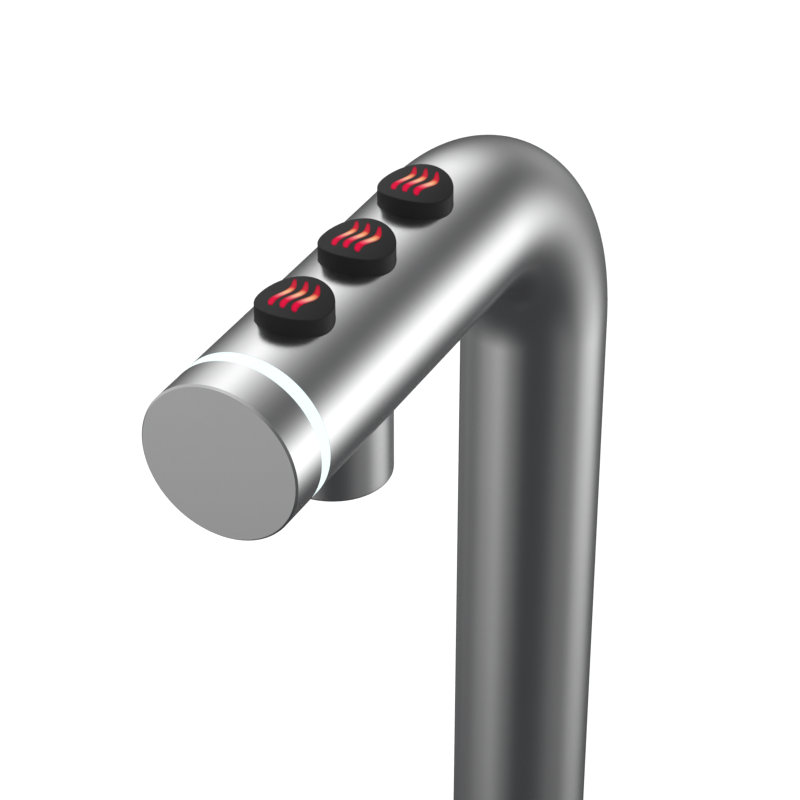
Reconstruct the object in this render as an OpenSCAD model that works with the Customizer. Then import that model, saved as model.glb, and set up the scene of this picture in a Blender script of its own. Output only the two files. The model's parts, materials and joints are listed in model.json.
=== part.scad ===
// Boiling water tap with a bent tube spout, three push buttons and a light ring.
// The origin is where the riser's axis meets the worktop, +Z is up and the arm points to -Y.

/* [Spout tube] */
// Outside diameter of the bent tube
tube_d = 42.4; // [41:0.1:46]
// Wall of the bent tube
tube_wall = 1.5; // [1:0.1:2]
// Height of the top of the arm above the worktop
crown_height = 360; // [300:1:420]
// Distance from the riser's axis to the front face of the arm
reach = 173.3; // [171:0.1:220]
// Radius of the bend along the tube's centre line
bend_radius = 56.4; // [50:0.1:58]

/* [End cap and light ring] */
// Length of the cap's visible collar
cap_collar = 11.5; // [8:0.1:14]
// Thickness of the cap's flat face
cap_face = 3; // [2:0.1:4]
// Wall of the cap's hollow spigot
cap_spigot_wall = 5; // [4.5:0.1:6]
// How far the spigot reaches into the tube
cap_spigot_reach = 9; // [8.6:0.1:10]
// Width of the light ring
ring_width = 4.2; // [3:0.1:5]
// How far the light ring lies below the tube's surface
ring_recess = 0.05; // [0:0.05:0.4]
// Number of light sources under the ring
led_count = 12; // [6:1:16]

/* [Buttons] */
// Number of buttons (the nodes below name three)
button_count = 3; // [3:1:3]
// Diameter of a button
button_d = 19.4; // [17:0.1:20]
// Distance between two buttons
button_pitch = 30.95; // [27:0.05:32]
// Distance from the arm's front face to the first button's axis
first_button = 36.9; // [36.8:0.1:38.5]
// How far a button's crown stands above the tube
button_proud = 4.5; // [3.5:0.1:5.5]
// How far a button moves when it is pressed
button_travel = 1.2; // [0.8:0.1:1.4]
// Diameter of a button's stem
stem_d = 6; // [5.5:0.1:6.5]
// Length of the three wavy strokes on a button
stroke_length = 13.3; // [12:0.1:14.2]
// Widest part of a stroke
stroke_width = 2.4; // [1.8:0.1:2.6]
// Sideways swing of a stroke
stroke_swing = 0.85; // [0.6:0.05:1.1]
// Distance between two strokes
stroke_pitch = 3.1; // [3:0.05:3.4]
// How far the strokes sit behind the button's middle
stroke_setback = 0.7; // [0:0.1:1]
// Depth of the strokes' inlay
stroke_depth = 0.8; // [0.5:0.1:1]

/* [Button carrier and board] */
// Height of the carrier's deck above the arm's axis
deck_height = 8; // [7.6:0.1:8.4]
// Thickness of the carrier's deck
deck_thickness = 2.5; // [2:0.1:2.8]
// Wall of the cups round the buttons
cup_wall = 1.9; // [1.5:0.1:2]
// Height of the board's top face below the arm's axis
board_drop = 3; // [2.8:0.1:3.4]
// Thickness of the board
board_thickness = 1.6; // [1.2:0.1:1.6]
// Width of the board
board_width = 34; // [30:0.5:35]
// Width of a switch under a button
switch_width = 6; // [5:0.1:7]
// Height of a switch under a button
switch_height = 3.5; // [3.3:0.1:3.6]

/* [Nozzle] */
// Outside diameter of the nozzle
nozzle_d = 30.6; // [29:0.1:31]
// Depth of the nozzle's rim below the arm's axis
nozzle_depth = 35.2; // [33:0.1:40]
// Distance from the arm's front face to the nozzle's axis
nozzle_setback = 54.5; // [52:0.1:56]
// Wall of the nozzle at its mouth
nozzle_wall = 2.6; // [2:0.1:3]
// Diameter of the nozzle's neck where it passes the tube's wall
neck_d = 20; // [19:0.5:20.5]
// Wall of the nozzle's neck
neck_wall = 2.4; // [2:0.1:3]
// Diameter of the opening that the water leaves by
outlet_d = 13; // [8:0.5:16]

/* [Water pipe and cable] */
// Outside diameter of the water pipe
pipe_d = 8; // [7:0.1:8.4]
// Wall of the water pipe
pipe_wall = 1; // [0.8:0.1:1.5]
// How far the water pipe lies below the arm's axis
pipe_drop = 9.8; // [9.7:0.1:9.9]
// Outside diameter of the signal cable
cable_d = 4; // [3:0.1:4.4]
// Distance from the water pipe's axis to the signal cable's axis
cable_offset = 7; // [6.8:0.1:7.4]
// Diameter of the connection stub under the worktop
stub_d = 10; // [9.8:0.1:12]
// How far the connection stub's lower end lies below the worktop
stub_depth = 126; // [118:1:160]

/* [Swivel and base] */
// Diameter of the base flange
flange_d = 54; // [52:1:64]
// Height of the base flange
flange_height = 8; // [7.6:0.1:12]
// Diameter of the hole in the worktop
hole_d = 35; // [34.5:0.1:36]
// Diameter of the threaded shank
shank_d = 32; // [31:0.1:33]
// Length of the shank below the worktop
shank_length = 75; // [72:1:82]
// Bore through the post for the pipe and the cable
post_bore = 23; // [22.4:0.1:23.6]
// Diameter of the post inside the spout
post_d = 32.4; // [32:0.1:32.8]
// Height of the post above the worktop
post_height = 68; // [66:1:90]
// How far the spout turns to each side
swivel_angle = 60; // [30:5:75]
// Diameter of the screw that stops and holds the spout
swivel_screw_d = 4; // [3:0.5:5]

/* [Worktop clamp] */
// Outside diameter of the clamp washers
washer_d = 54; // [50:1:60]
// Thickness of the steel washer
washer_thickness = 2; // [1.5:0.5:3]
// Thickness of the rubber washer
rubber_thickness = 3; // [2:0.5:4]
// Width across the corners of the clamp nut
nut_d = 48; // [44:1:52]
// Height of the clamp nut
nut_height = 10; // [8:0.5:12]
// Worktop thickness that the clamp is drawn at
worktop_thickness = 40; // [32:1:42]

/* [Fits] */
// Gap round a button where it passes the tube
button_gap = 0.2; // [0.15:0.05:0.4]
// Radial gap of a guide, a bearing or a screw hole
running_gap = 0.08; // [0.04:0.01:0.1]
// Gap between pieces that are slid together
seat_gap = 0.05; // [0.02:0.01:0.1]
// Gap between bodies that move past each other
free_gap = 0.3; // [0.2:0.05:0.4]

/* [Hidden] */
$fn = 96;

steel_colour = [0.72, 0.72, 0.71];
dark_plastic_colour = [0.13, 0.13, 0.14];
pale_plastic_colour = [0.86, 0.86, 0.84];
brass_colour = [0.76, 0.6, 0.32];
rubber_colour = [0.08, 0.08, 0.08];
board_colour = [0.07, 0.32, 0.18];
light_colour = [0.93, 1, 1];
symbol_colour = [0.92, 0.1, 0.2];

// Overrun of every cut past the face that it leaves
cut = 1;

// Spout tube
tube_r = tube_d / 2;
tube_bore_r = tube_r - tube_wall;
arm_z = crown_height - tube_r;
bend_z = arm_z - bend_radius;
ring_front = cap_collar;
ring_back = cap_collar + ring_width;
arm_end = reach - ring_back;

// End cap
cap_edge = 0.5;
spigot_r = tube_bore_r - seat_gap;
spigot_bore_r = spigot_r - cap_spigot_wall;
spigot_end = ring_back + cap_spigot_reach;
strip_seat_depth = 3;
strip_seat_r = spigot_r - strip_seat_depth;
strip_thickness = 0.35;
led_height = 1.6;
led_width = 2.4;
lead_width = 4;
lead_thickness = 0.35;
lead_landing = 4;
oring_cord = 1.6;
oring_setback = 1.8;
oring_z = spigot_end - ring_back - oring_setback;
oring_r = tube_bore_r - seat_gap - oring_cord / 2;
cap_screw_d = 4;
cap_screw_length = 5.2;
cap_screw_inset = 3.5;
cap_screw_setback = spigot_end - cap_screw_inset;
socket_share = 0.5;

// Buttons
button_r = button_d / 2;
crown_r = tube_r + button_proud;
stem_r = stem_d / 2;
button_hole_r = button_r + button_gap;
cup_bore_r = button_hole_r + button_gap;
cup_r = cup_bore_r + cup_wall;
cap_clearance = 3;
cap_floor = deck_height + cap_clearance;
spring_pocket_depth = 4;
spring_wire = 0.7;
spring_turns = 5;
spring_gap = 0.9;
spring_r = stem_r + spring_gap + spring_wire / 2;
spring_pocket_r = spring_r + spring_wire / 2 + spring_gap;
spring_low = deck_height + spring_wire / 2 + seat_gap;
spring_high = cap_floor + spring_pocket_depth - spring_wire / 2 - seat_gap;
spring_sides = 6;
spring_rings_a_turn = 12;
spring_rings = spring_turns * spring_rings_a_turn;
barb_lip = 0.5;
barb_height = 2.2;
barb_slit = 0.8;
barb_core = 2.6;
deck_floor = deck_height - deck_thickness;
barb_top = deck_floor - seat_gap;
stem_end = barb_top - barb_height;
board_top = -board_drop;
board_floor = board_top - board_thickness;
switch_top = board_top + switch_height;
plunger_r = 1.75;
plunger_grip = 1.2;
plunger_length = stem_end - switch_top + plunger_grip;
plunger_well = plunger_grip + button_travel + free_gap;
seal_thickness = 0.8;
seal_roof_r = tube_bore_r - seat_gap;
seal_floor_r = seal_roof_r - seal_thickness;

// Strokes of the symbol
stroke_waves_share = 1.14;
stroke_taper_share = 0.55;
stroke_tip_share = 0.38;
stroke_steps = 14;
stroke_places = [-1, 0, 1];

// Carrier and board
carrier_r = tube_bore_r - free_gap;
carrier_plate = 2;
carrier_front = spigot_end;
carrier_tail = 2;
carrier_back = first_button + (button_count - 1) * button_pitch + cup_r + carrier_tail;
rail_width = 2.6;
board_front = carrier_front + carrier_plate + seat_gap;
board_back = carrier_back;
carrier_screw_d = 2.2;
carrier_screw_length = 7;
carrier_screw_head_d = 4;
carrier_screw_head = 1.6;
carrier_screw_angle = 45;
carrier_screw_r = spigot_r - cap_spigot_wall / 2;
board_screw_d = 2;
board_screw_length = 6;
board_screw_head_d = 3.8;
board_screw_head = 1.4;
board_screw_inset = 6;
plug_length = 6;
plug_width = 9;
plug_height = 3.8;

// Nozzle
nozzle_r = nozzle_d / 2;
neck_r = neck_d / 2;
neck_bore_r = neck_r - neck_wall;
mouth_r = nozzle_r - nozzle_wall;
nozzle_edge = 0.8;
nozzle_gasket_thickness = 1;
manifold_lip = 6;
manifold_r = neck_r + manifold_lip;
manifold_top = board_floor - free_gap;
manifold_wall = 1.2;
pocket_top = -pipe_drop - pipe_d / 2 - manifold_wall;
neck_top = pocket_top - nozzle_gasket_thickness;
pipe_stop = 6;
outlet_rim = 1.5;
outlet_thickness = 5;
straightener_thickness = 3;
screen_thickness = 0.8;
mouth_depth = outlet_rim + outlet_thickness + straightener_thickness + screen_thickness;
hole_share = 0.085;
hole_rings = 3;
screen_bars = 7;
screen_bar = 0.5;

// Pipe and cable
pipe_r = pipe_d / 2;
pipe_bore_r = pipe_r - pipe_wall;
pipe_z = arm_z - pipe_drop;
pipe_bend = bend_radius - pipe_drop;
pipe_end = reach - nozzle_setback - pipe_stop;
cable_r = cable_d / 2;
cable_z = arm_z + board_top + plug_height / 2;
cable_end = reach - board_back;
// The cable turns with the tube, or tighter where the board reaches into the bend
cable_bend = min(cable_z - bend_z, cable_end + cable_offset);
stub_r = stub_d / 2;
stub_grip = 12;
spacer_height = 6;
spacer_shares = [0.44, 0.86];
guide_r = post_bore / 2 - free_gap;
guide_inset = 7;
guide_top = shank_length - guide_inset;
guide_height = 8;
guide_foot = guide_top + guide_height;
cable_grip = 3;
cable_foot = guide_top + cable_grip;
pipe_foot = guide_foot + stub_grip;
socket_width = 8;
socket_depth = 4.6;
socket_height = 11;
socket_wall = 0.8;
stub_shoulder_lip = 0.4;
stub_shoulder_r = stub_r + stub_shoulder_lip;
stub_shoulder_margin = 3;
stub_shoulder_foot = guide_foot + socket_height + stub_shoulder_margin;

// Swivel and base
post_r = post_d / 2;
post_bore_r = post_bore / 2;
shank_r = shank_d / 2;
collar_height = 3;
collar_r = hole_d / 2 - free_gap;
collar_seat_r = collar_r + free_gap;
collar_seat_height = 1;
ledge_height = 3;
shoulder_height = 3;
shoulder_lip = 0.2;
shoulder_r = tube_r + shoulder_lip;
glide_thickness = 1.2;
spout_foot = ledge_height + shoulder_height + glide_thickness + free_gap;
sleeve_r = tube_bore_r - seat_gap;
sleeve_wall = 1.6;
sleeve_bore_r = sleeve_r - sleeve_wall;
bearing_r = sleeve_bore_r - running_gap;
sleeve_overlap = 2;
sleeve_top = post_height + sleeve_overlap;
bearing_height = 8;
bearing_seat = 0.8;
bearing_margin = 4;
lower_bearing_z = spout_foot + bearing_margin;
upper_bearing_z = post_height - bearing_margin - bearing_height;
swivel_cord = 2.2;
swivel_oring_r = bearing_r - swivel_cord / 2;
oring_margin = 5;
oring_zs = [lower_bearing_z + bearing_height + oring_margin, upper_bearing_z - oring_margin];
swivel_screw_z = (oring_zs[0] + oring_zs[1]) / 2;
swivel_groove = 2;
groove_floor_r = post_r - swivel_groove;
flange_r = flange_d / 2;
flange_edge = 1.6;
seal_width = 5;
seal_height = 1.6;
seal_r = flange_r - flange_edge;

// Worktop clamp
washer_r = washer_d / 2;
clamp_bore_r = shank_r + free_gap;

// Puts its children on the arm, a distance back from the front face, with z towards the front and y up
module on_arm(back) {
    translate([0, back - reach, arm_z]) rotate([90, 0, 0]) children();
}

// Puts its children at a button, with z up from the arm's axis
module at_button(i) {
    translate([0, first_button + (i - 1) * button_pitch - reach, arm_z]) children();
}

module at_nozzle() {
    translate([0, nozzle_setback - reach, arm_z]) children();
}

// A solid along the arm between two distances from the front face
module arm_rod(r, front, back) {
    on_arm(back) cylinder(r = r, h = back - front);
}

module ring(outer_r, inner_r, height) {
    difference() {
        cylinder(r = outer_r, h = height);
        translate([0, 0, -cut]) cylinder(r = inner_r, h = height + 2 * cut);
    }
}

module torus(mean_r, cord_r) {
    rotate_extrude() translate([mean_r, 0]) circle(r = cord_r);
}

// A box that is centred in x and y and stands on z = 0
module block(width, depth, height) {
    translate([-width / 2, -depth / 2, 0]) cube([width, depth, height]);
}

// A quarter turn of a round rod, up from the riser and level at the given height
module elbow(r, level, bend, offset) {
    translate([0, offset - bend, level - bend]) rotate([90, 0, 90])
        rotate_extrude(angle = 90) translate([bend, 0]) circle(r = r);
}

// A round rod that rises behind the riser's axis by offset, bends, and runs level to its end
module bent_rod(r, foot_z, level, bend, offset, end) {
    translate([0, offset, foot_z]) cylinder(r = r, h = level - bend - foot_z);
    elbow(r, level, bend, offset);
    translate([0, offset - bend, level]) rotate([90, 0, 0])
        cylinder(r = r, h = end - bend + offset);
}

// A rod on the tube's own centre line, for what has to follow the inside of the tube
module inside_tube(r) {
    bent_rod(r, spout_foot, arm_z, bend_radius, 0, reach);
}

module cap_head_screw(d, length, head_d, head) {
    cylinder(d = d, h = length);
    difference() {
        translate([0, 0, -head]) cylinder(d = head_d, h = head);
        translate([0, 0, -head - cut]) cylinder(d = d * socket_share, h = cut + head / 2, $fn = 6);
    }
}

module grub_screw(d, length) {
    difference() {
        cylinder(d = d, h = length);
        translate([0, 0, length - d / 2]) cylinder(d = d * socket_share, h = d / 2 + cut, $fn = 6);
    }
}

// Spout

module spout_tube() {
    color(steel_colour) difference() {
        bent_rod(tube_r, spout_foot, arm_z, bend_radius, 0, arm_end);
        bent_rod_bore();
        for (i = [1:button_count]) at_button(i) cylinder(r = button_hole_r, h = tube_r + cut);
        at_nozzle() translate([0, 0, -tube_r - cut]) cylinder(r = neck_r + seat_gap, h = tube_r);
        at_cap_screw() cylinder(d = cap_screw_d + 2 * seat_gap, h = tube_r + cut);
        at_swivel_screw() cylinder(d = swivel_screw_d + 2 * seat_gap, h = tube_r + cut);
    }
}

module bent_rod_bore() {
    translate([0, 0, spout_foot - cut]) cylinder(r = tube_bore_r, h = bend_z - spout_foot + cut);
    elbow(tube_bore_r, arm_z, bend_radius, 0);
    arm_rod(tube_bore_r, ring_back - cut, reach - bend_radius);
}

module swivel_sleeve() {
    color(brass_colour) difference() {
        translate([0, 0, spout_foot]) ring(sleeve_r, sleeve_bore_r, sleeve_top - spout_foot);
        at_swivel_screw() cylinder(d = swivel_screw_d, h = tube_r);
    }
}

// The swivel screw's axis points out of the back of the riser
module at_swivel_screw() {
    translate([0, 0, swivel_screw_z]) rotate([-90, 0, 0]) children();
}

module swivel_screw() {
    color(steel_colour) at_swivel_screw()
        translate([0, 0, groove_floor_r + free_gap])
            grub_screw(swivel_screw_d, tube_r - free_gap - groove_floor_r - free_gap);
}

// End cap and light ring

module end_cap() {
    color(steel_colour) on_arm(spigot_end) difference() {
        rotate_extrude() polygon([
            [spigot_bore_r, 0], [spigot_r, 0], [spigot_r, spigot_end - ring_front],
            [tube_r, spigot_end - ring_front], [tube_r, spigot_end - cap_edge],
            [tube_r - cap_edge, spigot_end], [0, spigot_end], [0, spigot_end - cap_face],
            [spigot_bore_r, spigot_end - cap_face]
        ]);
        translate([0, 0, spigot_end - ring_back]) ring(spigot_r + cut, strip_seat_r, ring_width);
        translate([0, 0, oring_z - oring_cord / 2])
            ring(spigot_r + cut, oring_r - oring_cord / 2, oring_cord);
        rotate([90, 0, 0]) translate([0, spigot_end - cap_screw_setback, 0])
            cylinder(d = cap_screw_d, h = tube_r);
        for (side = [-1, 1]) at_carrier_screw(side)
            translate([0, 0, -cut])
                cylinder(d = carrier_screw_d, h = cut + carrier_screw_length - carrier_plate + seat_gap);
        translate([-lead_width / 2, -spigot_r, spigot_end - ring_back])
            cube([lead_width, cap_spigot_wall + cut, ring_width]);
    }
}

module cap_oring() {
    color(rubber_colour) on_arm(spigot_end) translate([0, 0, oring_z]) torus(oring_r, oring_cord / 2);
}

// The cap screw's axis points out of the underside of the arm
module at_cap_screw() {
    on_arm(cap_screw_setback) rotate([90, 0, 0]) children();
}

module cap_screw() {
    color(steel_colour) at_cap_screw()
        translate([0, 0, tube_r - free_gap - cap_screw_length]) grub_screw(cap_screw_d, cap_screw_length);
}

module light_ring() {
    color(light_colour) on_arm(ring_back) ring(tube_r - ring_recess, spigot_r + seat_gap, ring_width);
}

module led_strip() {
    strip_r = strip_seat_r + seat_gap;
    color(pale_plastic_colour) on_arm(ring_back) {
        translate([0, 0, seat_gap]) ring(strip_r + strip_thickness, strip_r, ring_width - 2 * seat_gap);
        for (k = [0:led_count - 1]) rotate([0, 0, (k + 0.5) * 360 / led_count])
            translate([strip_r + strip_thickness / 2, -led_width / 2, (ring_width - led_width) / 2])
                cube([led_height, led_width, led_width]);
    }
}

// A flat lead from the strip, through the spigot's wall, to the board
module led_lead() {
    foot = strip_seat_r - 2 * seat_gap;
    run = board_front + lead_landing - ring_back + ring_width / 2;
    color(dark_plastic_colour) on_arm(ring_back - ring_width / 2) {
        translate([-lead_width / 2 + seat_gap, -foot, 0])
            cube([lead_width - 2 * seat_gap, foot + board_top + lead_thickness, lead_thickness]);
        translate([-lead_width / 2 + seat_gap, board_top, lead_thickness - run])
            cube([lead_width - 2 * seat_gap, lead_thickness, run]);
    }
}

// Nozzle

module nozzle_shell() {
    color(steel_colour) difference() {
        at_nozzle() translate([0, 0, -nozzle_depth]) rotate_extrude() polygon([
            [0, 0], [nozzle_r - nozzle_edge, 0], [nozzle_r, nozzle_edge],
            [nozzle_r, nozzle_depth], [0, nozzle_depth]
        ]);
        difference() {
            arm_rod(tube_r, 0, reach - bend_radius);
            at_nozzle() translate([0, 0, -tube_r - cut]) cylinder(r = neck_r, h = tube_r + cut + neck_top);
        }
        at_nozzle() translate([0, 0, -nozzle_depth - cut]) cylinder(r = mouth_r, h = mouth_depth + cut);
        at_nozzle() translate([0, 0, -nozzle_depth]) cylinder(r = neck_bore_r, h = nozzle_depth);
    }
}

module nozzle_gasket() {
    color(rubber_colour) at_nozzle() translate([0, 0, neck_top])
        ring(neck_r - seat_gap, neck_bore_r, nozzle_gasket_thickness);
}

// Block inside the arm that holds the nozzle and takes the water down from the pipe
module outlet_manifold() {
    color(brass_colour) difference() {
        intersection() {
            at_nozzle() translate([0, 0, -tube_r]) cylinder(r = manifold_r, h = tube_r + manifold_top);
            arm_rod(tube_bore_r - seat_gap, 0, reach - bend_radius);
        }
        at_nozzle() translate([0, 0, -tube_r]) cylinder(r = neck_r + seat_gap, h = tube_r + pocket_top);
        at_nozzle() translate([0, 0, -tube_r]) cylinder(r = pipe_bore_r, h = tube_r - pipe_drop);
        translate([0, 0, -pipe_drop]) on_arm(nozzle_setback + manifold_r + cut)
            cylinder(r = pipe_bore_r, h = manifold_r + cut);
        translate([0, 0, -pipe_drop]) on_arm(nozzle_setback + manifold_r + cut)
            cylinder(r = pipe_r + seat_gap, h = manifold_r + cut - pipe_stop);
    }
}

module nozzle_screen() {
    step = 2 * (mouth_r - seat_gap) / (screen_bars + 1);
    color(steel_colour) at_nozzle()
        translate([0, 0, -nozzle_depth + mouth_depth - screen_thickness]) {
            ring(mouth_r - seat_gap, neck_bore_r, screen_thickness);
            intersection() {
                cylinder(r = neck_bore_r + screen_bar, h = screen_thickness);
                union() for (k = [1:screen_bars], turn = [0, 90]) rotate([0, 0, turn])
                    translate([k * step - mouth_r, -mouth_r, 0])
                        cube([screen_bar, 2 * mouth_r, screen_thickness]);
            }
        }
}

// Disc with rings of fine holes that calms the water
module flow_straightener() {
    color(pale_plastic_colour) at_nozzle()
        translate([0, 0, -nozzle_depth + outlet_rim + outlet_thickness]) difference() {
            cylinder(r = mouth_r - seat_gap, h = straightener_thickness);
            for (k = [0:hole_rings], j = [0:max(0, 6 * k - 1)])
                rotate([0, 0, j * 360 / max(1, 6 * k)])
                    translate([k * mouth_r / (hole_rings + 1), 0, -cut])
                        cylinder(r = mouth_r * hole_share, h = straightener_thickness + 2 * cut);
        }
}

module nozzle_outlet() {
    color(dark_plastic_colour) at_nozzle() translate([0, 0, -nozzle_depth + outlet_rim])
        ring(mouth_r - seat_gap, outlet_d / 2, outlet_thickness);
}

// Water pipe and cable

module water_pipe() {
    color(steel_colour) difference() {
        bent_rod(pipe_r, -pipe_foot, pipe_z, pipe_bend, 0, pipe_end);
        bent_rod(pipe_bore_r, -pipe_foot - cut, pipe_z, pipe_bend, 0, pipe_end + cut);
    }
}

// Discs in the riser that hold the pipe and the cable
module pipe_spacers() {
    color(rubber_colour) for (share = spacer_shares)
        translate([0, 0, bend_z * share]) difference() {
            cylinder(r = tube_bore_r - seat_gap, h = spacer_height);
            translate([0, 0, -cut]) cylinder(r = pipe_r + seat_gap, h = spacer_height + 2 * cut);
            translate([0, cable_offset, -cut])
                cylinder(r = cable_r + seat_gap, h = spacer_height + 2 * cut);
        }
}

module inlet_stub() {
    color(brass_colour) difference() {
        rotate_extrude() polygon([
            [pipe_bore_r, -stub_depth], [stub_r, -stub_depth], [stub_r, -stub_shoulder_foot],
            [stub_shoulder_r, -stub_shoulder_foot], [stub_shoulder_r, -guide_foot],
            [pipe_bore_r, -guide_foot]
        ]);
        translate([0, 0, -pipe_foot]) cylinder(r = pipe_r + seat_gap, h = stub_grip + cut);
    }
}

module signal_cable() {
    color(rubber_colour)
        bent_rod(cable_r, -cable_foot, cable_z, cable_bend, cable_offset, cable_end);
}

// Disc in the post's bore that turns with the spout and carries the pipe's tail and the cable socket
module tail_guide() {
    color(dark_plastic_colour) translate([0, 0, -guide_foot]) difference() {
        ring(guide_r, pipe_r + seat_gap, guide_height);
        translate([0, cable_offset, guide_foot - cable_foot])
            cylinder(r = cable_r + seat_gap, h = guide_height);
    }
}

module cable_socket() {
    inner_width = socket_width - 2 * socket_wall;
    inner_depth = socket_depth - 2 * socket_wall;
    color(pale_plastic_colour)
        translate([0, stub_shoulder_r + free_gap + socket_depth / 2, -guide_foot - socket_height])
            difference() {
                block(socket_width, socket_depth, socket_height);
                translate([0, 0, -cut]) block(inner_width, inner_depth, cut + socket_height / 2);
            }
}

// Button carrier and board

module at_carrier_screw(side) {
    rotate([0, 0, 90 - side * carrier_screw_angle]) translate([carrier_screw_r, 0, 0]) children();
}

module button_carrier() {
    color(pale_plastic_colour) difference() {
        intersection() {
            inside_tube(carrier_r);
            arm_rod(tube_r, carrier_front, carrier_back);
            union() {
                deck_and_rails();
                for (i = [1:button_count]) at_button(i)
                    translate([0, 0, deck_height]) cylinder(r = cup_r, h = tube_r);
                front_plate();
            }
        }
        for (i = [1:button_count]) {
            at_button(i) translate([0, 0, deck_height]) cylinder(r = cup_bore_r, h = tube_r);
            at_button(i) cylinder(r = stem_r + running_gap, h = tube_r);
            difference() {
                at_button(i) translate([0, 0, deck_height]) cylinder(r = cup_r + cut, h = tube_r);
                inside_tube(seal_floor_r);
            }
        }
        for (side = [-1, 1]) on_arm(carrier_front + carrier_plate + cut) at_carrier_screw(side)
            cylinder(d = carrier_screw_d + 2 * seat_gap, h = carrier_plate + 2 * cut);
        at_board_screws() cylinder(d = board_screw_d, h = board_screw_length + cut);
    }
}

// A cylinder along the arm through a button, centred on the arm's axis
module on_arm_axis(r) {
    rotate([90, 0, 0]) translate([0, 0, -button_pitch]) cylinder(r = r, h = 2 * button_pitch);
}

module deck_and_rails() {
    length = carrier_back - carrier_front;
    on_arm(carrier_back) {
        translate([-tube_r, deck_floor, 0]) cube([2 * tube_r, deck_thickness, length]);
        for (side = [-1, 1])
            translate([side * (board_width - rail_width) / 2 - rail_width / 2, board_top, 0])
                cube([rail_width, deck_height - board_top, length]);
    }
}

module front_plate() {
    on_arm(carrier_front + carrier_plate)
        translate([-tube_r, deck_floor, 0]) cube([2 * tube_r, tube_r, carrier_plate]);
}

module carrier_screws() {
    color(steel_colour) on_arm(carrier_front + carrier_plate) for (side = [-1, 1])
        at_carrier_screw(side)
            cap_head_screw(carrier_screw_d - 2 * seat_gap, carrier_screw_length,
                carrier_screw_head_d, carrier_screw_head);
}

// Four screws near the board's corners, each with its tip up
module at_board_screws() {
    for (back = [board_front + board_screw_inset, board_back - board_screw_inset], side = [-1, 1])
        translate([side * (board_width - rail_width) / 2, back - reach, arm_z + board_floor]) children();
}

module button_board() {
    color(board_colour) difference() {
        on_arm(board_back) translate([-board_width / 2, board_floor, 0])
            cube([board_width, board_thickness, board_back - board_front]);
        at_board_screws() translate([0, 0, -cut])
            cylinder(d = board_screw_d + 2 * seat_gap, h = board_thickness + 2 * cut);
    }
}

module board_screws() {
    color(steel_colour) at_board_screws()
        cap_head_screw(board_screw_d - 2 * seat_gap, board_screw_length,
            board_screw_head_d, board_screw_head);
}

module board_plug() {
    color(pale_plastic_colour) on_arm(board_back)
        translate([-plug_width / 2, board_top, 0]) cube([plug_width, plug_height, plug_length]);
}

module tact_switches() {
    color(dark_plastic_colour) for (i = [1:button_count]) at_button(i) translate([0, 0, board_top])
        difference() {
            block(switch_width, switch_width, switch_height);
            translate([0, 0, switch_height - plunger_well])
                cylinder(r = plunger_r + running_gap, h = plunger_well + cut);
        }
}

// Saddle-shaped seal between a cup's rim and the inside of the tube
module button_seal(i) {
    color(rubber_colour) difference() {
        intersection() {
            at_button(i) translate([0, 0, deck_height]) cylinder(r = cup_r, h = tube_r);
            inside_tube(seal_roof_r);
        }
        inside_tube(seal_floor_r);
        at_button(i) cylinder(r = button_hole_r, h = tube_r);
    }
}

// Buttons

module button_cap(i) {
    color(dark_plastic_colour) at_button(i) {
        difference() {
            intersection() {
                translate([0, 0, cap_floor]) cylinder(r = button_r, h = crown_r);
                on_arm_axis(crown_r);
            }
            difference() {
                translate([0, 0, cap_floor - cut])
                    cylinder(r = spring_pocket_r, h = spring_pocket_depth + cut);
                cylinder(r = stem_r, h = crown_r);
            }
            symbol_inlay(seat_gap);
        }
        difference() {
            translate([0, 0, stem_end]) rotate_extrude() polygon([
                [0, 0], [stem_r - barb_lip, 0], [stem_r + barb_lip, barb_height - barb_lip],
                [stem_r + barb_lip, barb_height], [stem_r, barb_height],
                [stem_r, cap_floor + spring_pocket_depth + cut - stem_end],
                [0, cap_floor + spring_pocket_depth + cut - stem_end]
            ]);
            barb_slits();
        }
    }
}

// Two narrow slits beside the stem's core let the barb spring in
module barb_slits() {
    for (side = [-1, 1]) translate([side * (barb_core + barb_slit) / 2, 0, stem_end - cut])
        block(barb_slit, button_d, cut + barb_height + deck_thickness);
}

// Half width of a stroke at a share of its length, narrow at both ends and slimmer at the rear
function stroke_half(t) =
    stroke_width / 2 * pow(sin(180 * t), stroke_tip_share) * (1 - stroke_taper_share * t);
function stroke_mid(t) =
    [-stroke_swing * sin(360 * stroke_waves_share * t), (t - 0.5) * stroke_length + stroke_setback];
function stroke_outline(grow) = [
    for (k = [0:stroke_steps]) let (t = k / stroke_steps)
        stroke_mid(t) - [stroke_half(t) + grow, (0.5 - t) * 2 * grow],
    for (k = [stroke_steps:-1:0]) let (t = k / stroke_steps)
        stroke_mid(t) + [stroke_half(t) + grow, (t - 0.5) * 2 * grow]
];

module symbol_strokes(grow) {
    for (place = stroke_places) translate([place * stroke_pitch, 0, 0])
        linear_extrude(height = crown_r) polygon(stroke_outline(grow));
}

// The strokes cut out of the button's curved crown
module symbol_inlay(grow) {
    difference() {
        intersection() {
            symbol_strokes(grow);
            on_arm_axis(crown_r + grow);
        }
        on_arm_axis(crown_r - stroke_depth - grow);
    }
}

module button_symbol(i) {
    color(symbol_colour) at_button(i) intersection() {
        symbol_inlay(0);
        on_arm_axis(crown_r);
    }
}

// The points of one ring round the spring's wire
function wire_ring(k) = let (turn = 360 * k / spring_rings_a_turn) [
    for (j = [0:spring_sides - 1]) let (
        around = 360 * j / spring_sides,
        r = spring_r + spring_wire / 2 * cos(around)
    ) [
        r * cos(turn), r * sin(turn),
        spring_low + (spring_high - spring_low) * k / spring_rings + spring_wire / 2 * sin(around)
    ]
];

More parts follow.
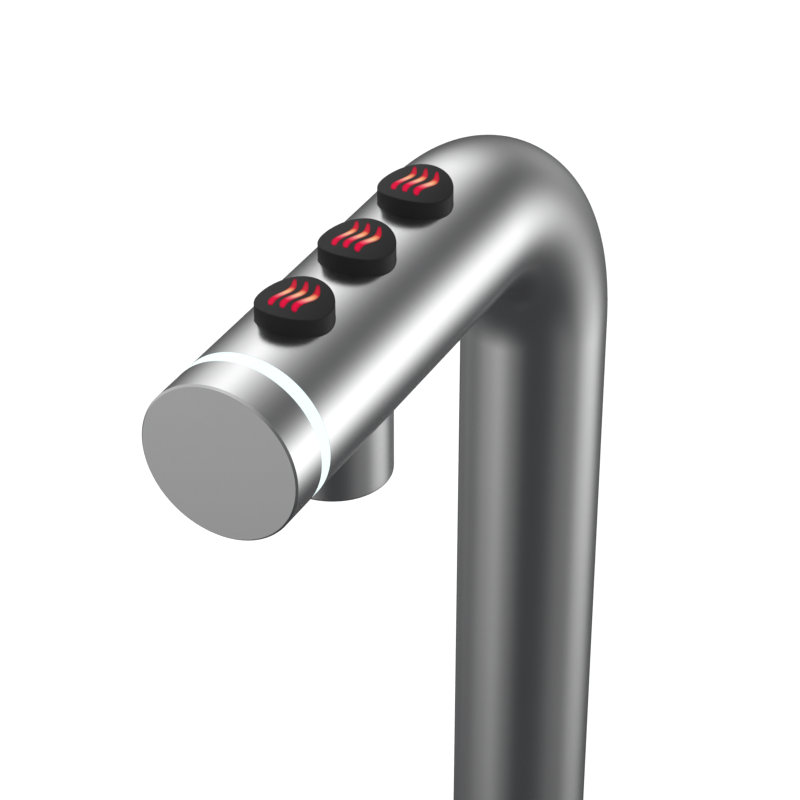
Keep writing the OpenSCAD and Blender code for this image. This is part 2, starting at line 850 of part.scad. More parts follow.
module return_spring(i) {
    points = [for (k = [0:spring_rings]) each wire_ring(k)];
    sides = [
        for (k = [0:spring_rings - 1], j = [0:spring_sides - 1]) let (
            a = k * spring_sides + j,
            b = k * spring_sides + (j + 1) % spring_sides
        ) each [[a, b, b + spring_sides], [a, b + spring_sides, a + spring_sides]]
    ];
    first_end = [for (j = [1:spring_sides - 2]) [0, j + 1, j]];
    last = spring_rings * spring_sides;
    last_end = [for (j = [1:spring_sides - 2]) [last, last + j, last + j + 1]];
    color(steel_colour) at_button(i)
        polyhedron(points = points, faces = concat(sides, first_end, last_end), convexity = 10);
}

module switch_plunger(i) {
    color(pale_plastic_colour) at_button(i) translate([0, 0, stem_end - plunger_length])
        cylinder(r = plunger_r, h = plunger_length);
}

// Swivel and base

module base_flange() {
    color(steel_colour) difference() {
        rotate_extrude() polygon([
            [collar_seat_r, 0], [flange_r, 0], [flange_r, flange_height - flange_edge],
            [flange_r - flange_edge, flange_height], [shoulder_r + free_gap, flange_height],
            [shoulder_r + free_gap, ledge_height], [shank_r + seat_gap, ledge_height],
            [shank_r + seat_gap, collar_seat_height], [collar_seat_r, collar_seat_height]
        ]);
        translate([0, 0, -cut]) ring(seal_r, seal_r - seal_width, seal_height + cut);
    }
}

module base_seal() {
    color(rubber_colour) ring(seal_r - seat_gap, seal_r - seal_width + seat_gap, seal_height - seat_gap);
}

// Turned post that the spout turns on, with the threaded shank below the worktop
module base_post() {
    color(brass_colour) difference() {
        rotate_extrude() polygon([
            [post_bore_r, -shank_length], [shank_r, -shank_length], [shank_r, ledge_height],
            [shoulder_r, ledge_height], [shoulder_r, ledge_height + shoulder_height],
            [post_r, ledge_height + shoulder_height], [post_r, post_height], [post_bore_r, post_height]
        ]);
        for (z = [lower_bearing_z, upper_bearing_z]) translate([0, 0, z - seat_gap])
            ring(post_r + cut, post_r - bearing_seat, bearing_height + 2 * seat_gap);
        for (z = oring_zs) translate([0, 0, z - swivel_cord / 2 - seat_gap])
            ring(post_r + cut, swivel_oring_r - swivel_cord / 2, swivel_cord + 2 * seat_gap);
        stop_groove();
    }
}

// Groove that the swivel screw's tip runs in: its ends stop the spout
module stop_groove() {
    tip_angle = asin((swivel_screw_d / 2 + free_gap) / post_r);
    sweep = 2 * (swivel_angle + tip_angle);
    groove_width = swivel_screw_d + 2 * free_gap;
    translate([0, 0, swivel_screw_z]) rotate([0, 0, 90 - sweep / 2]) rotate_extrude(angle = sweep)
        translate([groove_floor_r, -groove_width / 2]) square([swivel_groove + cut, groove_width]);
}

// Ring that centres the shank in the worktop's hole, with a lip in the flange's underside
module centring_collar() {
    bore_r = shank_r + seat_gap;
    lip_r = collar_seat_r - seat_gap;
    lip_top = collar_seat_height - seat_gap;
    color(dark_plastic_colour) rotate_extrude() polygon([
        [bore_r, -collar_height], [collar_r, -collar_height], [collar_r, 0], [lip_r, 0],
        [lip_r, lip_top], [bore_r, lip_top]
    ]);
}

module glide_ring() {
    color(pale_plastic_colour) translate([0, 0, ledge_height + shoulder_height])
        ring(shoulder_r, post_r + seat_gap, glide_thickness);
}

module bearing(z) {
    color(pale_plastic_colour) translate([0, 0, z])
        ring(bearing_r, post_r - bearing_seat + seat_gap, bearing_height);
}

module lower_bearing() {
    bearing(lower_bearing_z);
}

module upper_bearing() {
    bearing(upper_bearing_z);
}

module swivel_orings() {
    color(rubber_colour) for (z = oring_zs) translate([0, 0, z])
        torus(swivel_oring_r, swivel_cord / 2);
}

// Worktop clamp

module rubber_washer() {
    color(rubber_colour) translate([0, 0, -worktop_thickness - rubber_thickness])
        ring(washer_r, clamp_bore_r, rubber_thickness);
}

module clamp_washer() {
    color(steel_colour) translate([0, 0, -worktop_thickness - rubber_thickness - washer_thickness])
        ring(washer_r, clamp_bore_r, washer_thickness);
}

module clamp_nut() {
    color(brass_colour)
        translate([0, 0, -worktop_thickness - rubber_thickness - washer_thickness - nut_height])
            difference() {
                cylinder(d = nut_d, h = nut_height, $fn = 6);
                translate([0, 0, -cut]) cylinder(r = clamp_bore_r, h = nut_height + 2 * cut);
            }
}

spout_tube();
swivel_sleeve();
swivel_screw();
end_cap();
cap_oring();
cap_screw();
light_ring();
led_strip();
led_lead();
nozzle_shell();
nozzle_gasket();
outlet_manifold();
nozzle_screen();
flow_straightener();
nozzle_outlet();
water_pipe();
pipe_spacers();
inlet_stub();
signal_cable();
tail_guide();
cable_socket();
button_carrier();
carrier_screws();
button_board();
board_screws();
board_plug();
tact_switches();
button_seal(1);  // button_seal_1
button_seal(2);  // button_seal_2
button_seal(3);  // button_seal_3
button_cap(1);  // button_cap_1
button_cap(2);  // button_cap_2
button_cap(3);  // button_cap_3
button_symbol(1);  // button_symbol_1
button_symbol(2);  // button_symbol_2
button_symbol(3);  // button_symbol_3
return_spring(1);  // return_spring_1
return_spring(2);  // return_spring_2
return_spring(3);  // return_spring_3
switch_plunger(1);  // switch_plunger_1
switch_plunger(2);  // switch_plunger_2
switch_plunger(3);  // switch_plunger_3
base_flange();
base_seal();
base_post();
centring_collar();
glide_ring();
lower_bearing();
upper_bearing();
swivel_orings();
rubber_washer();
clamp_washer();
clamp_nut();
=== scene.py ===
import json
import math

import bmesh
import bpy
import numpy as np
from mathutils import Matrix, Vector


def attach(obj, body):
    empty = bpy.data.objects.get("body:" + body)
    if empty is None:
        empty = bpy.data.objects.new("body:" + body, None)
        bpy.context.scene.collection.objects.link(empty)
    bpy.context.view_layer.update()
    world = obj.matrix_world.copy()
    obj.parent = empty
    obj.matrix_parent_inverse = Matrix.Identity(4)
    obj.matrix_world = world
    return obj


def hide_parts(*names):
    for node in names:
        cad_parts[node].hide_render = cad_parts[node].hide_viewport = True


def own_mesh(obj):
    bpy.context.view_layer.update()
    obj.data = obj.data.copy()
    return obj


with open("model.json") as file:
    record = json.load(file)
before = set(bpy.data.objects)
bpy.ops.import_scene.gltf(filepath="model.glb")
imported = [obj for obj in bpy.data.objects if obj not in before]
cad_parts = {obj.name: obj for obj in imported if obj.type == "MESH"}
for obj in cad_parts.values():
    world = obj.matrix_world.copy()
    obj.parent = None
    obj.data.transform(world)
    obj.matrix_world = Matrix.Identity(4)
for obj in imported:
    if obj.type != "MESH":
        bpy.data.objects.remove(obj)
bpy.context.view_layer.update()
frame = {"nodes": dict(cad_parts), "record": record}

cad_nodes = frame["nodes"]
MM = 0.001
QUARTER_TURN = math.pi / 2

# Sizes of the tap, in metres. The riser stands on the z axis and the arm points to -Y.

# Tube
TUBE_R = 21.2 * MM
TUBE_BORE_R = 19.7 * MM
TUBE_EDGE = 0.03 * MM
SPOUT_FOOT = 7.5 * MM
BEND_RADIUS = 56.4 * MM
BEND_Z = 282.4 * MM
ARM_Z = BEND_Z + BEND_RADIUS
TUBE_END = -157.6 * MM
CAP_SCREW_Y = -152.1 * MM
SWIVEL_SCREW_Z = 37.75 * MM
SCREW_HOLE_R = 2.05 * MM

# End cap and light ring
ARM_FACE = -173.3 * MM
CAP_BACK = -161.8 * MM
CAP_THICKNESS = 3 * MM
CAP_CHAMFER = 0.5 * MM
SPIGOT_END = -148.6 * MM
SPIGOT_R = 19.65 * MM
SPIGOT_BORE_R = 14.65 * MM
RING_RECESS = 0.05 * MM

# Buttons: their places along the arm, radii, and heights above the arm's axis
BUTTON_PLACES = {1: -136.4 * MM, 2: -105.45 * MM, 3: -74.5 * MM}
BUTTON_R = 9.7 * MM
BUTTON_HOLE_R = 9.76 * MM
BUTTON_RIM = 0.22 * MM
BUTTON_FOOT = 11 * MM
BUTTON_FOOT_EDGE = 0.3 * MM
CROWN_R = 25.7 * MM
STROKE_PROUD = 0.03 * MM
SPRING_POCKET_R = 5.5 * MM
SPRING_POCKET_TOP = 15 * MM
STEM_R = 3 * MM
STEM_TIP_R = 2.5 * MM
STEM_END = 3.25 * MM
BARB_R = 3.5 * MM
BARB_TOP = 5.45 * MM
BARB_HEIGHT = 0.5 * MM

# Nozzle
NOZZLE_Y = -118.8 * MM
NOZZLE_R = 15.3 * MM
NOZZLE_RIM_Z = 303.6 * MM
NOZZLE_EDGE = 0.8 * MM
MOUTH_R = 12.7 * MM
MOUTH_EDGE = 0.3 * MM
MOUTH_TOP = 313.9 * MM
NECK_R = 10 * MM
NECK_BORE_R = 7.6 * MM
NECK_TOP = 322.8 * MM

# Flange and post
FLANGE_R = 27 * MM
FLANGE_TOP = 8 * MM
FLANGE_EDGE = 1.6 * MM
FLANGE_RELIEF_R = 17.5 * MM
FLANGE_RELIEF_TOP = 1 * MM
SEAL_GROOVE_INNER_R = 20.4 * MM
SEAL_GROOVE_OUTER_R = 25.4 * MM
SEAL_GROOVE_TOP = 1.6 * MM
LEDGE = 3 * MM
SHOULDER_R = 21.4 * MM
SHOULDER_TOP = 6 * MM
SHOULDER_GAP = 0.3 * MM
POST_R = 16.2 * MM
POST_TOP = 68 * MM
POST_BORE_R = 11.5 * MM
BEARING_SEAT_R = 15.4 * MM
ORING_GROOVE_R = 15.77 * MM
# Foot, top and radius of each recess, from the shoulder up
POST_RECESSES = (
    (11.45 * MM, 19.55 * MM, BEARING_SEAT_R), (23.35 * MM, 25.65 * MM, ORING_GROOVE_R),
    (49.85 * MM, 52.15 * MM, ORING_GROOVE_R), (55.95 * MM, 64.05 * MM, BEARING_SEAT_R))
SHANK_R = 16 * MM
SHANK_END = -75 * MM
THREAD_PITCH = 1.5 * MM
THREAD_DEPTH = 0.8 * MM
THREAD_TOP = -6 * MM

# Worktop clamp
CLAMP_TOP = -40 * MM
CLAMP_BORE_R = 16.3 * MM
WASHER_R = 27 * MM
RUBBER_FOOT = CLAMP_TOP - 3 * MM
WASHER_FOOT = RUBBER_FOOT - 2 * MM
NUT_FOOT = WASHER_FOOT - 10 * MM
NUT_CORNER_R = 24 * MM
NUT_CORNER_TRIM = 0.15 * MM
NUT_CONE_INSET = 0.3 * MM
NUT_CONE_SLOPE = math.tan(math.radians(60))
NUT_BORE_CHAMFER = 0.8 * MM

# Water connection under the post
GUIDE_FOOT = -76 * MM
STUB_R = 5 * MM
STUB_SHOULDER_R = 5.4 * MM
STUB_SHOULDER_FOOT = -90 * MM
STUB_END = -126 * MM
PIPE_R = 4 * MM
PIPE_BORE_R = 3 * MM
PIPE_FOOT = -88 * MM

# Play between pieces that fit together, and how far a hole's cutter reaches
CLEARANCE = 0.05 * MM
CUT_LENGTH = 30 * MM

# How finely the meshes are divided, and how near doubled points lie
ROUND_STEPS = 160
TUBE_STEPS = 192
NUT_STEPS = 240
CUTTER_STEPS = 96
ARC_STEPS = 5
RISER_RINGS, BEND_RINGS, ARM_RINGS = 16, 61, 24
WELD_DISTANCE = 0.0005 * MM
SPRING_WELD_DISTANCE = 0.001 * MM


# Small helpers

def new_object(name, data):
    """An object in the scene that shows the given mesh, light or camera."""
    made = bpy.data.objects.new(name, data)
    bpy.context.scene.collection.objects.link(made)
    return made


def aimed(made, direction):
    """Turns a light or the camera to look along a direction."""
    made.rotation_mode = "QUATERNION"
    made.rotation_quaternion = Vector(direction).to_track_quat("-Z", "Y")


def add(tree, kind, sockets=None, **settings):
    """A node in the tree: settings are its properties, sockets take a value or an output."""
    made = tree.nodes.new(kind)
    for name, value in settings.items():
        setattr(made, name, value)
    for name, value in (sockets or {}).items():
        join(tree, made.inputs[name], value)
    return made


def join(tree, socket, value):
    """Feeds a socket with another node's output or with a plain value."""
    if isinstance(value, bpy.types.NodeSocket):
        tree.links.new(value, socket)
    else:
        socket.default_value = value


def calc(tree, operation, *terms):
    """The result of one Math node."""
    made = tree.nodes.new("ShaderNodeMath")
    made.operation = operation
    for socket, term in zip(made.inputs, terms):
        join(tree, socket, term)
    return made.outputs[0]


def split(tree, vector):
    """The X, Y and Z outputs of a vector."""
    return add(tree, "ShaderNodeSeparateXYZ", {"Vector": vector}).outputs


def vector_of(tree, **parts):
    """A vector from its X, Y and Z; those not named are zero."""
    return add(tree, "ShaderNodeCombineXYZ", parts).outputs[0]


# Meshes

def weld(mesh, distance, face_out=False):
    """Merges doubled points and, on request, turns all faces outwards."""
    work = bmesh.new()
    work.from_mesh(mesh)
    bmesh.ops.remove_doubles(work, verts=work.verts, dist=distance)
    if face_out:
        bmesh.ops.recalc_face_normals(work, faces=work.faces)
    work.to_mesh(mesh)
    work.free()


def mesh_from_rings(name, rings, closed):
    """A skin over rings of points, one ring after the other; each ring closes on itself.

    A closed skin joins its last ring to its first. An open one starts and ends in a point on
    the axis. The UV map holds metres: u runs from ring to ring and v runs round each ring.
    """
    steps = len(rings[0])
    gaps = [np.linalg.norm(b - a, axis=1).mean() for a, b in zip(rings, rings[1:] + rings[:1])]
    along = np.concatenate([[0], np.cumsum(gaps)])
    widest = max(np.linalg.norm(ring - ring.mean(0), axis=1).mean() for ring in rings)
    round_step = 2 * math.pi * widest / steps
    faces, uvs = [], []
    for k in range(len(rings) if closed else len(rings) - 1):
        here, there = k * steps, (k + 1) % len(rings) * steps
        u, next_u = along[k], along[k + 1]
        for j in range(steps):
            n = (j + 1) % steps
            faces.append((here + j, here + n, there + n, there + j))
            v, next_v = j * round_step, (j + 1) * round_step
            uvs += [(u, v), (u, next_v), (next_u, next_v), (next_u, v)]
    mesh = bpy.data.meshes.new(name)
    mesh.from_pydata(np.concatenate(rings), [], faces)
    layer = mesh.uv_layers.new(name="UVMap")
    layer.data.foreach_set("uv", np.array(uvs, np.float32).ravel())
    weld(mesh, WELD_DISTANCE, face_out=True)
    return new_object(name, mesh)


def smooth(made, sharp_degrees=32):
    """Smooth shading, apart from edges sharper than the angle."""
    made.data.shade_smooth()
    made.data.set_sharp_from_angle(angle=math.radians(sharp_degrees))
    return made


def settled(made):
    """The object with its modifiers worked into its mesh."""
    graph = bpy.context.evaluated_depsgraph_get()
    mesh = bpy.data.meshes.new_from_object(
        made.evaluated_get(graph), preserve_all_data_layers=True, depsgraph=graph)
    made.modifiers.clear()
    made.data = mesh
    return made


def even_shading(made):
    """Keeps flat faces flat beside rounded edges."""
    weighted = made.modifiers.new("even shading", "WEIGHTED_NORMAL")
    weighted.keep_sharp = True
    weighted.weight = 100
    return settled(made)


def rounded(corners):
    """Outline points from (radius, height, fillet) corners; each fillet becomes an arc."""
    points = []
    for k, (r, h, fillet) in enumerate(corners):
        here = np.array([r, h])
        if fillet <= 0:
            points.append(here)
            continue
        a = np.array(corners[k - 1][:2]) - here
        b = np.array(corners[(k + 1) % len(corners)][:2]) - here
        a, b = a / np.linalg.norm(a), b / np.linalg.norm(b)
        half = math.acos(max(-1, min(1, a @ b))) / 2
        centre = here + (a + b) / np.linalg.norm(a + b) * fillet / math.sin(half)
        start = here + a * fillet / math.tan(half)
        end = here + b * fillet / math.tan(half)
        first = math.atan2(*(start - centre)[::-1])
        turn = math.atan2(*(end - centre)[::-1]) - first
        turn = (turn + math.pi) % (2 * math.pi) - math.pi
        for j in range(ARC_STEPS + 1):
            at = first + turn * j / ARC_STEPS
            points.append(centre + fillet * np.array([math.cos(at), math.sin(at)]))
    return points


def around(steps):
    """Cosine and sine of evenly spaced angles round a circle."""
    turn = np.arange(steps) * 2 * math.pi / steps
    return np.cos(turn), np.sin(turn)


def upright_ring(r, z, y=0.0, steps=ROUND_STEPS):
    """A ring round an upright axis; r and z may differ from point to point."""
    c, s = around(steps)
    return np.stack([r * c, y + r * s, z + 0 * c], 1)


def arm_ring(r, y):
    """A ring round the arm's axis."""
    c, s = around(ROUND_STEPS)
    return np.stack([r * s, y + 0 * c, ARM_Z - r * c], 1)


def turned(name, corners, ring=upright_ring, closed=True):
    """A turned piece from the (radius, height, fillet) corners of its outline."""
    rings = [ring(max(r, 0), h) for r, h in rounded(corners)]
    return even_shading(smooth(mesh_from_rings(name, rings, closed)))


def cut_away(made, cutters):
    """Cuts closed meshes out of a piece and removes them."""
    joined = bpy.data.meshes.new("cutters")
    work = bmesh.new()
    for cutter in cutters:
        work.from_mesh(cutter.data)
    work.to_mesh(joined)
    work.free()
    tool = new_object("cutters", joined)
    cut = made.modifiers.new("cut", "BOOLEAN")
    cut.operation, cut.solver, cut.object = "DIFFERENCE", "EXACT", tool
    settled(made)
    for leftover in [tool, *cutters]:
        bpy.data.objects.remove(leftover)
    return made


def rod(start, end, r):
    """A plain closed cylinder between two points, only ever used to cut with."""
    start, end = Vector(start), Vector(end)
    turn = (end - start).to_track_quat("Z", "Y").to_matrix()
    circle = list(zip(*around(CUTTER_STEPS)))
    rings = [
        np.array([at + turn @ Vector((radius * x, radius * y, 0)) for x, y in circle])
        for at, radius in ((start, 0), (start, r), (end, r), (end, 0))]
    return mesh_from_rings("cutter", rings, closed=False)


# Finishes

# Values of a noise at which a finish has its dark shade and its light one
NOISE_LOW, NOISE_HIGH = 0.3, 0.7
STEEL, STEEL_DARK = (0.73, 0.73, 0.735), (0.68, 0.68, 0.685)
BRUSH_LENGTH = 9 * MM
BRUSH_DEPTH = 0.02
BRUSH_SHARE = 0.6
METAL_CLOUDS = 38
MOULDED_CLOUDS = 90
ROUGHNESS_SPREAD = 0.08
RING_FROST = 2200
SYMBOL_FROST = 2600
RING_GLOW, RING_EDGE_GLOW = (0.84, 0.98, 0.98), (0.74, 0.9, 0.91)
# Colour along a stroke, from its front end to its rear tip
STROKE_COLOURS = (
    (0.0, (0.1, 0.002, 0.01)), (0.06, (0.72, 0.0, 0.05)), (0.27, (0.8, 0.0, 0.05)),
    (0.36, (0.9, 0.12, 0.17)), (0.44, (0.97, 0.4, 0.31)), (0.53, (1.0, 0.55, 0.3)),
    (0.62, (0.95, 0.34, 0.15)), (0.71, (0.68, 0.02, 0.04)), (0.92, (0.55, 0.006, 0.035)),
    (1.0, (0.1, 0.002, 0.01)))
STROKE_EDGE_COLOUR = (0.3, 0.003, 0.014)


def finish_tree(name):
    """A new material with its node tree and its surface shader."""
    material = bpy.data.materials.new(name)
    material.use_nodes = True
    tree = material.node_tree
    return material, tree, tree.nodes["Principled BSDF"]


def ramp(tree, factor, stops):
    """Colour from (position, colour) stops."""
    made = add(tree, "ShaderNodeValToRGB", {"Fac": factor})
    elements = made.color_ramp.elements
    while len(elements) < len(stops):
        elements.new(0.5)
    for element, (position, colour) in zip(elements, stops):
        element.position = position
        element.color = (*colour, 1)
    return made.outputs["Color"]


def grey(value):
    """A neutral shade."""
    return (value, value, value)


def noise(tree, at, scale, detail=2, roughness=0.5):
    """Noise with the given number of grains to a metre."""
    return add(tree, "ShaderNodeTexNoise", {
        "Vector": at, "Scale": scale, "Detail": detail, "Roughness": roughness}).outputs["Fac"]


def tinted(tree, surface, factor, dark, light):
    """Base colour that varies between two shades with a noise."""
    stops = [(NOISE_LOW, dark), (NOISE_HIGH, light)]
    join(tree, surface.inputs["Base Color"], ramp(tree, factor, stops))


def roughened(tree, surface, factor, low, high):
    """Roughness that varies between two values with a noise."""
    made = add(tree, "ShaderNodeMapRange", {"Value": factor, "To Min": low, "To Max": high})
    join(tree, surface.inputs["Roughness"], made.outputs["Result"])


def raised(tree, surface, height, strength, distance):
    """Fine relief from a noise."""
    bump = add(tree, "ShaderNodeBump", {
        "Height": height, "Strength": strength, "Distance": distance})
    join(tree, surface.inputs["Normal"], bump.outputs["Normal"])


def brushed(name, light, dark, rough_low, rough_high, line=0.14 * MM):
    """Metal with fine lines that run round the piece, from its UV map in metres."""
    material, tree, surface = finish_tree(name)
    at = add(tree, "ShaderNodeTexCoord").outputs
    lines = add(tree, "ShaderNodeMapping", {
        "Vector": at["UV"], "Scale": (1 / line, 1 / BRUSH_LENGTH, 1)})
    fine = noise(tree, lines.outputs["Vector"], 1, detail=3, roughness=0.6)
    clouds = noise(tree, at["Object"], METAL_CLOUDS)
    both = calc(tree, "MULTIPLY_ADD", fine, BRUSH_SHARE,
                calc(tree, "MULTIPLY", clouds, 1 - BRUSH_SHARE))
    tinted(tree, surface, both, dark, light)
    roughened(tree, surface, both, rough_low, rough_high)
    surface.inputs["Metallic"].default_value = 1.0
    raised(tree, surface, fine, BRUSH_DEPTH, line)
    return material


def grained(name, light, dark, rough, grain=0.35 * MM, depth=0.15, metallic=0.0, specular=0.5):
    """Moulded or drawn stuff with a fine even grain and slight cloudiness."""
    material, tree, surface = finish_tree(name)
    at = add(tree, "ShaderNodeTexCoord").outputs["Object"]
    fine = noise(tree, at, 1 / grain, detail=4, roughness=0.55)
    clouds = noise(tree, at, MOULDED_CLOUDS, detail=3, roughness=0.55)
    both = calc(tree, "MULTIPLY_ADD", fine, 0.5, calc(tree, "MULTIPLY", clouds, 0.5))
    tinted(tree, surface, both, dark, light)
    roughened(tree, surface, fine, rough - ROUGHNESS_SPREAD, rough + ROUGHNESS_SPREAD)
    surface.inputs["Metallic"].default_value = metallic
    surface.inputs["Specular IOR Level"].default_value = specular
    raised(tree, surface, fine, depth, grain / 4)
    return material


def lit_ring_finish():
    """Frosted light guide: an even pale glow that falls off a little at both edges."""
    material, tree, surface = finish_tree("lit ring")
    at = add(tree, "ShaderNodeTexCoord").outputs["Object"]
    middle, half = (CAP_BACK + TUBE_END) / 2, (TUBE_END - CAP_BACK) / 2
    off = calc(tree, "DIVIDE", calc(tree, "SUBTRACT", split(tree, at)["Y"], middle), half)
    edge = calc(tree, "POWER", calc(tree, "ABSOLUTE", off), 8)
    frost = noise(tree, at, RING_FROST)
    level = calc(tree, "MULTIPLY_ADD", frost, 0.03, calc(tree, "MULTIPLY", edge, 0.04))
    glow = ramp(tree, level, [(0.0, RING_GLOW), (0.16, RING_EDGE_GLOW)])
    tinted(tree, surface, frost, grey(0.1), grey(0.14))
    surface.inputs["Specular IOR Level"].default_value = 0.2
    surface.inputs["Roughness"].default_value = 0.4
    join(tree, surface.inputs["Emission Color"], glow)
    surface.inputs["Emission Strength"].default_value = 1.0
    raised(tree, surface, frost, 0.1, 0.05 * MM)
    return material


def lit_symbol_finish():
    """Glowing stroke: crimson at its front, pale orange at its middle and red at its rear tip."""
    material, tree, surface = finish_tree("lit symbol")
    along = add(tree, "ShaderNodeAttribute", attribute_name="along").outputs["Fac"]
    across = add(tree, "ShaderNodeAttribute", attribute_name="across").outputs["Fac"]
    edge = calc(tree, "POWER", calc(tree, "ABSOLUTE", across), 1.8)
    glow = add(tree, "ShaderNodeMix", {"Factor": calc(tree, "MULTIPLY", edge, 0.9)},
               data_type="RGBA")
    join(tree, glow.inputs["A"], ramp(tree, along, STROKE_COLOURS))
    glow.inputs["B"].default_value = (*STROKE_EDGE_COLOUR, 1)
    surface.inputs["Base Color"].default_value = (0.02, 0.001, 0.003, 1)
    surface.inputs["Specular IOR Level"].default_value = 0.03
    join(tree, surface.inputs["Emission Color"], glow.outputs["Result"])
    surface.inputs["Emission Strength"].default_value = 1.0
    at = add(tree, "ShaderNodeTexCoord").outputs["Object"]
    roughened(tree, surface, noise(tree, at, SYMBOL_FROST), 0.35, 0.5)
    return material


# Each finish takes a light shade, a dark shade and its roughness
finishes = {
    "satin_steel": brushed("satin steel", STEEL, STEEL_DARK, 0.2, 0.25),
    "flange_steel": brushed("flange steel", STEEL, STEEL_DARK, 0.22, 0.28, line=0.1 * MM),
    "bright_steel": brushed(
        "bright steel", (0.7, 0.7, 0.69), (0.6, 0.6, 0.59), 0.2, 0.32, line=0.2 * MM),
    "turned_brass": brushed(
        "turned brass", (0.74, 0.56, 0.27), (0.62, 0.45, 0.2), 0.25, 0.38, line=0.2 * MM),
    "spring_steel": grained(
        "spring steel", grey(0.55), grey(0.45), 0.3, metallic=1.0, depth=0.05),
    "pipe_steel": grained("pipe steel", grey(0.68), grey(0.6), 0.3, metallic=1.0, depth=0.05),
    "lit_ring": lit_ring_finish(),
    "lit_symbol": lit_symbol_finish(),
    "light_strip": grained("light strip", (0.8, 0.79, 0.7), (0.7, 0.69, 0.6), 0.45),
    "flat_lead": grained("flat lead", (0.3, 0.2, 0.08), (0.22, 0.14, 0.05), 0.4),
    "button_black": grained(
        "button black", grey(0.02), grey(0.014), 0.5, grain=0.22 * MM, depth=0.25,
        specular=0.15),
    "silicone": grained("silicone", grey(0.32), grey(0.26), 0.55),
    "black_rubber": grained(
        "black rubber", grey(0.03), grey(0.018), 0.68, grain=0.5 * MM, depth=0.3),
    "cable_sheath": grained("cable sheath", grey(0.025), grey(0.016), 0.5),
    "pale_plastic": grained(
        "pale plastic", (0.74, 0.73, 0.7), (0.68, 0.67, 0.64), 0.45, grain=0.4 * MM),
    "dark_plastic": grained("dark plastic", grey(0.03), grey(0.02), 0.42, grain=0.4 * MM),
    "bearing_plastic": grained(
        "bearing plastic", (0.72, 0.7, 0.62), (0.66, 0.64, 0.56), 0.4),
    "board_green": grained("board green", (0.02, 0.12, 0.05), (0.014, 0.08, 0.035), 0.35),
}


def coat(made, slot):
    """Gives an object the one finish of its slot."""
    made.data.materials.clear()
    made.data.materials.append(finishes[slot])


slot_of = {row["node"]: row["material_slot"] for row in frame["record"]["subparts"]}
for name, shown in cad_nodes.items():
    coat(shown, slot_of[name])


def place(made, slot, body, *stands_for):
    """Gives a piece its finish and the body that it moves with, and hides the nodes it stands
    for.
    """
    coat(made, slot)
    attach(made, body)
    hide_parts(*stands_for)


# Geometry trees

def new_tree(name, inputs):
    """An empty tree with named inputs, those inputs' outputs and the tree's output node."""
    tree = bpy.data.node_groups.new(name, "GeometryNodeTree")
    face = tree.interface
    face.new_socket("Geometry", in_out="INPUT", socket_type="NodeSocketGeometry")
    face.new_socket("Geometry", in_out="OUTPUT", socket_type="NodeSocketGeometry")
    for label, value in inputs.items():
        kind = "NodeSocketInt" if isinstance(value, int) else "NodeSocketFloat"
        face.new_socket(label, in_out="INPUT", socket_type=kind).default_value = value
    face.new_socket("Finish", in_out="INPUT", socket_type="NodeSocketMaterial")
    return tree, tree.nodes.new("NodeGroupInput").outputs, tree.nodes.new("NodeGroupOutput")


def close_tree(tree, geometry, given, out):
    """Ends a tree in plain geometry with its finish."""
    real = add(tree, "GeometryNodeRealizeInstances", {"Geometry": geometry})
    made = add(tree, "GeometryNodeSetMaterial", {
        "Geometry": real.outputs[0], "Material": given["Finish"]})
    tree.links.new(made.outputs[0], out.inputs["Geometry"])


def grown(made, tree, **values):
    """The object as a geometry tree makes it, with the given named values."""
    modifier = made.modifiers.new(tree.name, "NODES")
    modifier.node_group = tree
    for item in tree.interface.items_tree:
        if item.in_out == "INPUT" and item.name in values:
            modifier[item.identifier] = values[item.name]
    return settled(made)


def empty_piece(name):
    """An object with no mesh yet, for a tree to fill."""
    return new_object(name, bpy.data.meshes.new(name))


def own_place(tree):
    """X, Y and Z of each point in the geometry."""
    return split(tree, add(tree, "GeometryNodeInputPosition").outputs[0])


def moved_to(tree, geometry, **parts):
    """The geometry with its points at the given X, Y and Z."""
    return add(tree, "GeometryNodeSetPosition", {
        "Geometry": geometry, "Position": vector_of(tree, **parts)}).outputs[0]


def bend_tree():
    """Bends a straight upright tube a quarter turn towards -Y, from the bend's height on."""
    tree, given, out = new_tree("tube bend", {
        "Bend Height": BEND_Z, "Bend Radius": BEND_RADIUS})
    start, radius = given["Bend Height"], given["Bend Radius"]
    at = own_place(tree)
    rise = calc(tree, "SUBTRACT", at["Z"], start)
    turn = calc(tree, "MAXIMUM", calc(tree, "DIVIDE", rise, radius), 0.0)
    turn = calc(tree, "MINIMUM", turn, QUARTER_TURN)
    beyond = calc(tree, "SUBTRACT", rise, calc(tree, "MULTIPLY", turn, radius))
    lever = calc(tree, "ADD", radius, at["Y"])
    sine, cosine = calc(tree, "SINE", turn), calc(tree, "COSINE", turn)
    y = calc(tree, "SUBTRACT", calc(tree, "MULTIPLY", lever, cosine),
             calc(tree, "MULTIPLY", beyond, sine))
    z = calc(tree, "ADD", calc(tree, "ADD", start, calc(tree, "MULTIPLY", lever, sine)),
             calc(tree, "MULTIPLY", beyond, cosine))
    bent = moved_to(tree, given["Geometry"], X=at["X"], Y=calc(tree, "SUBTRACT", y, radius), Z=z)
    close_tree(tree, bent, given, out)
    return tree


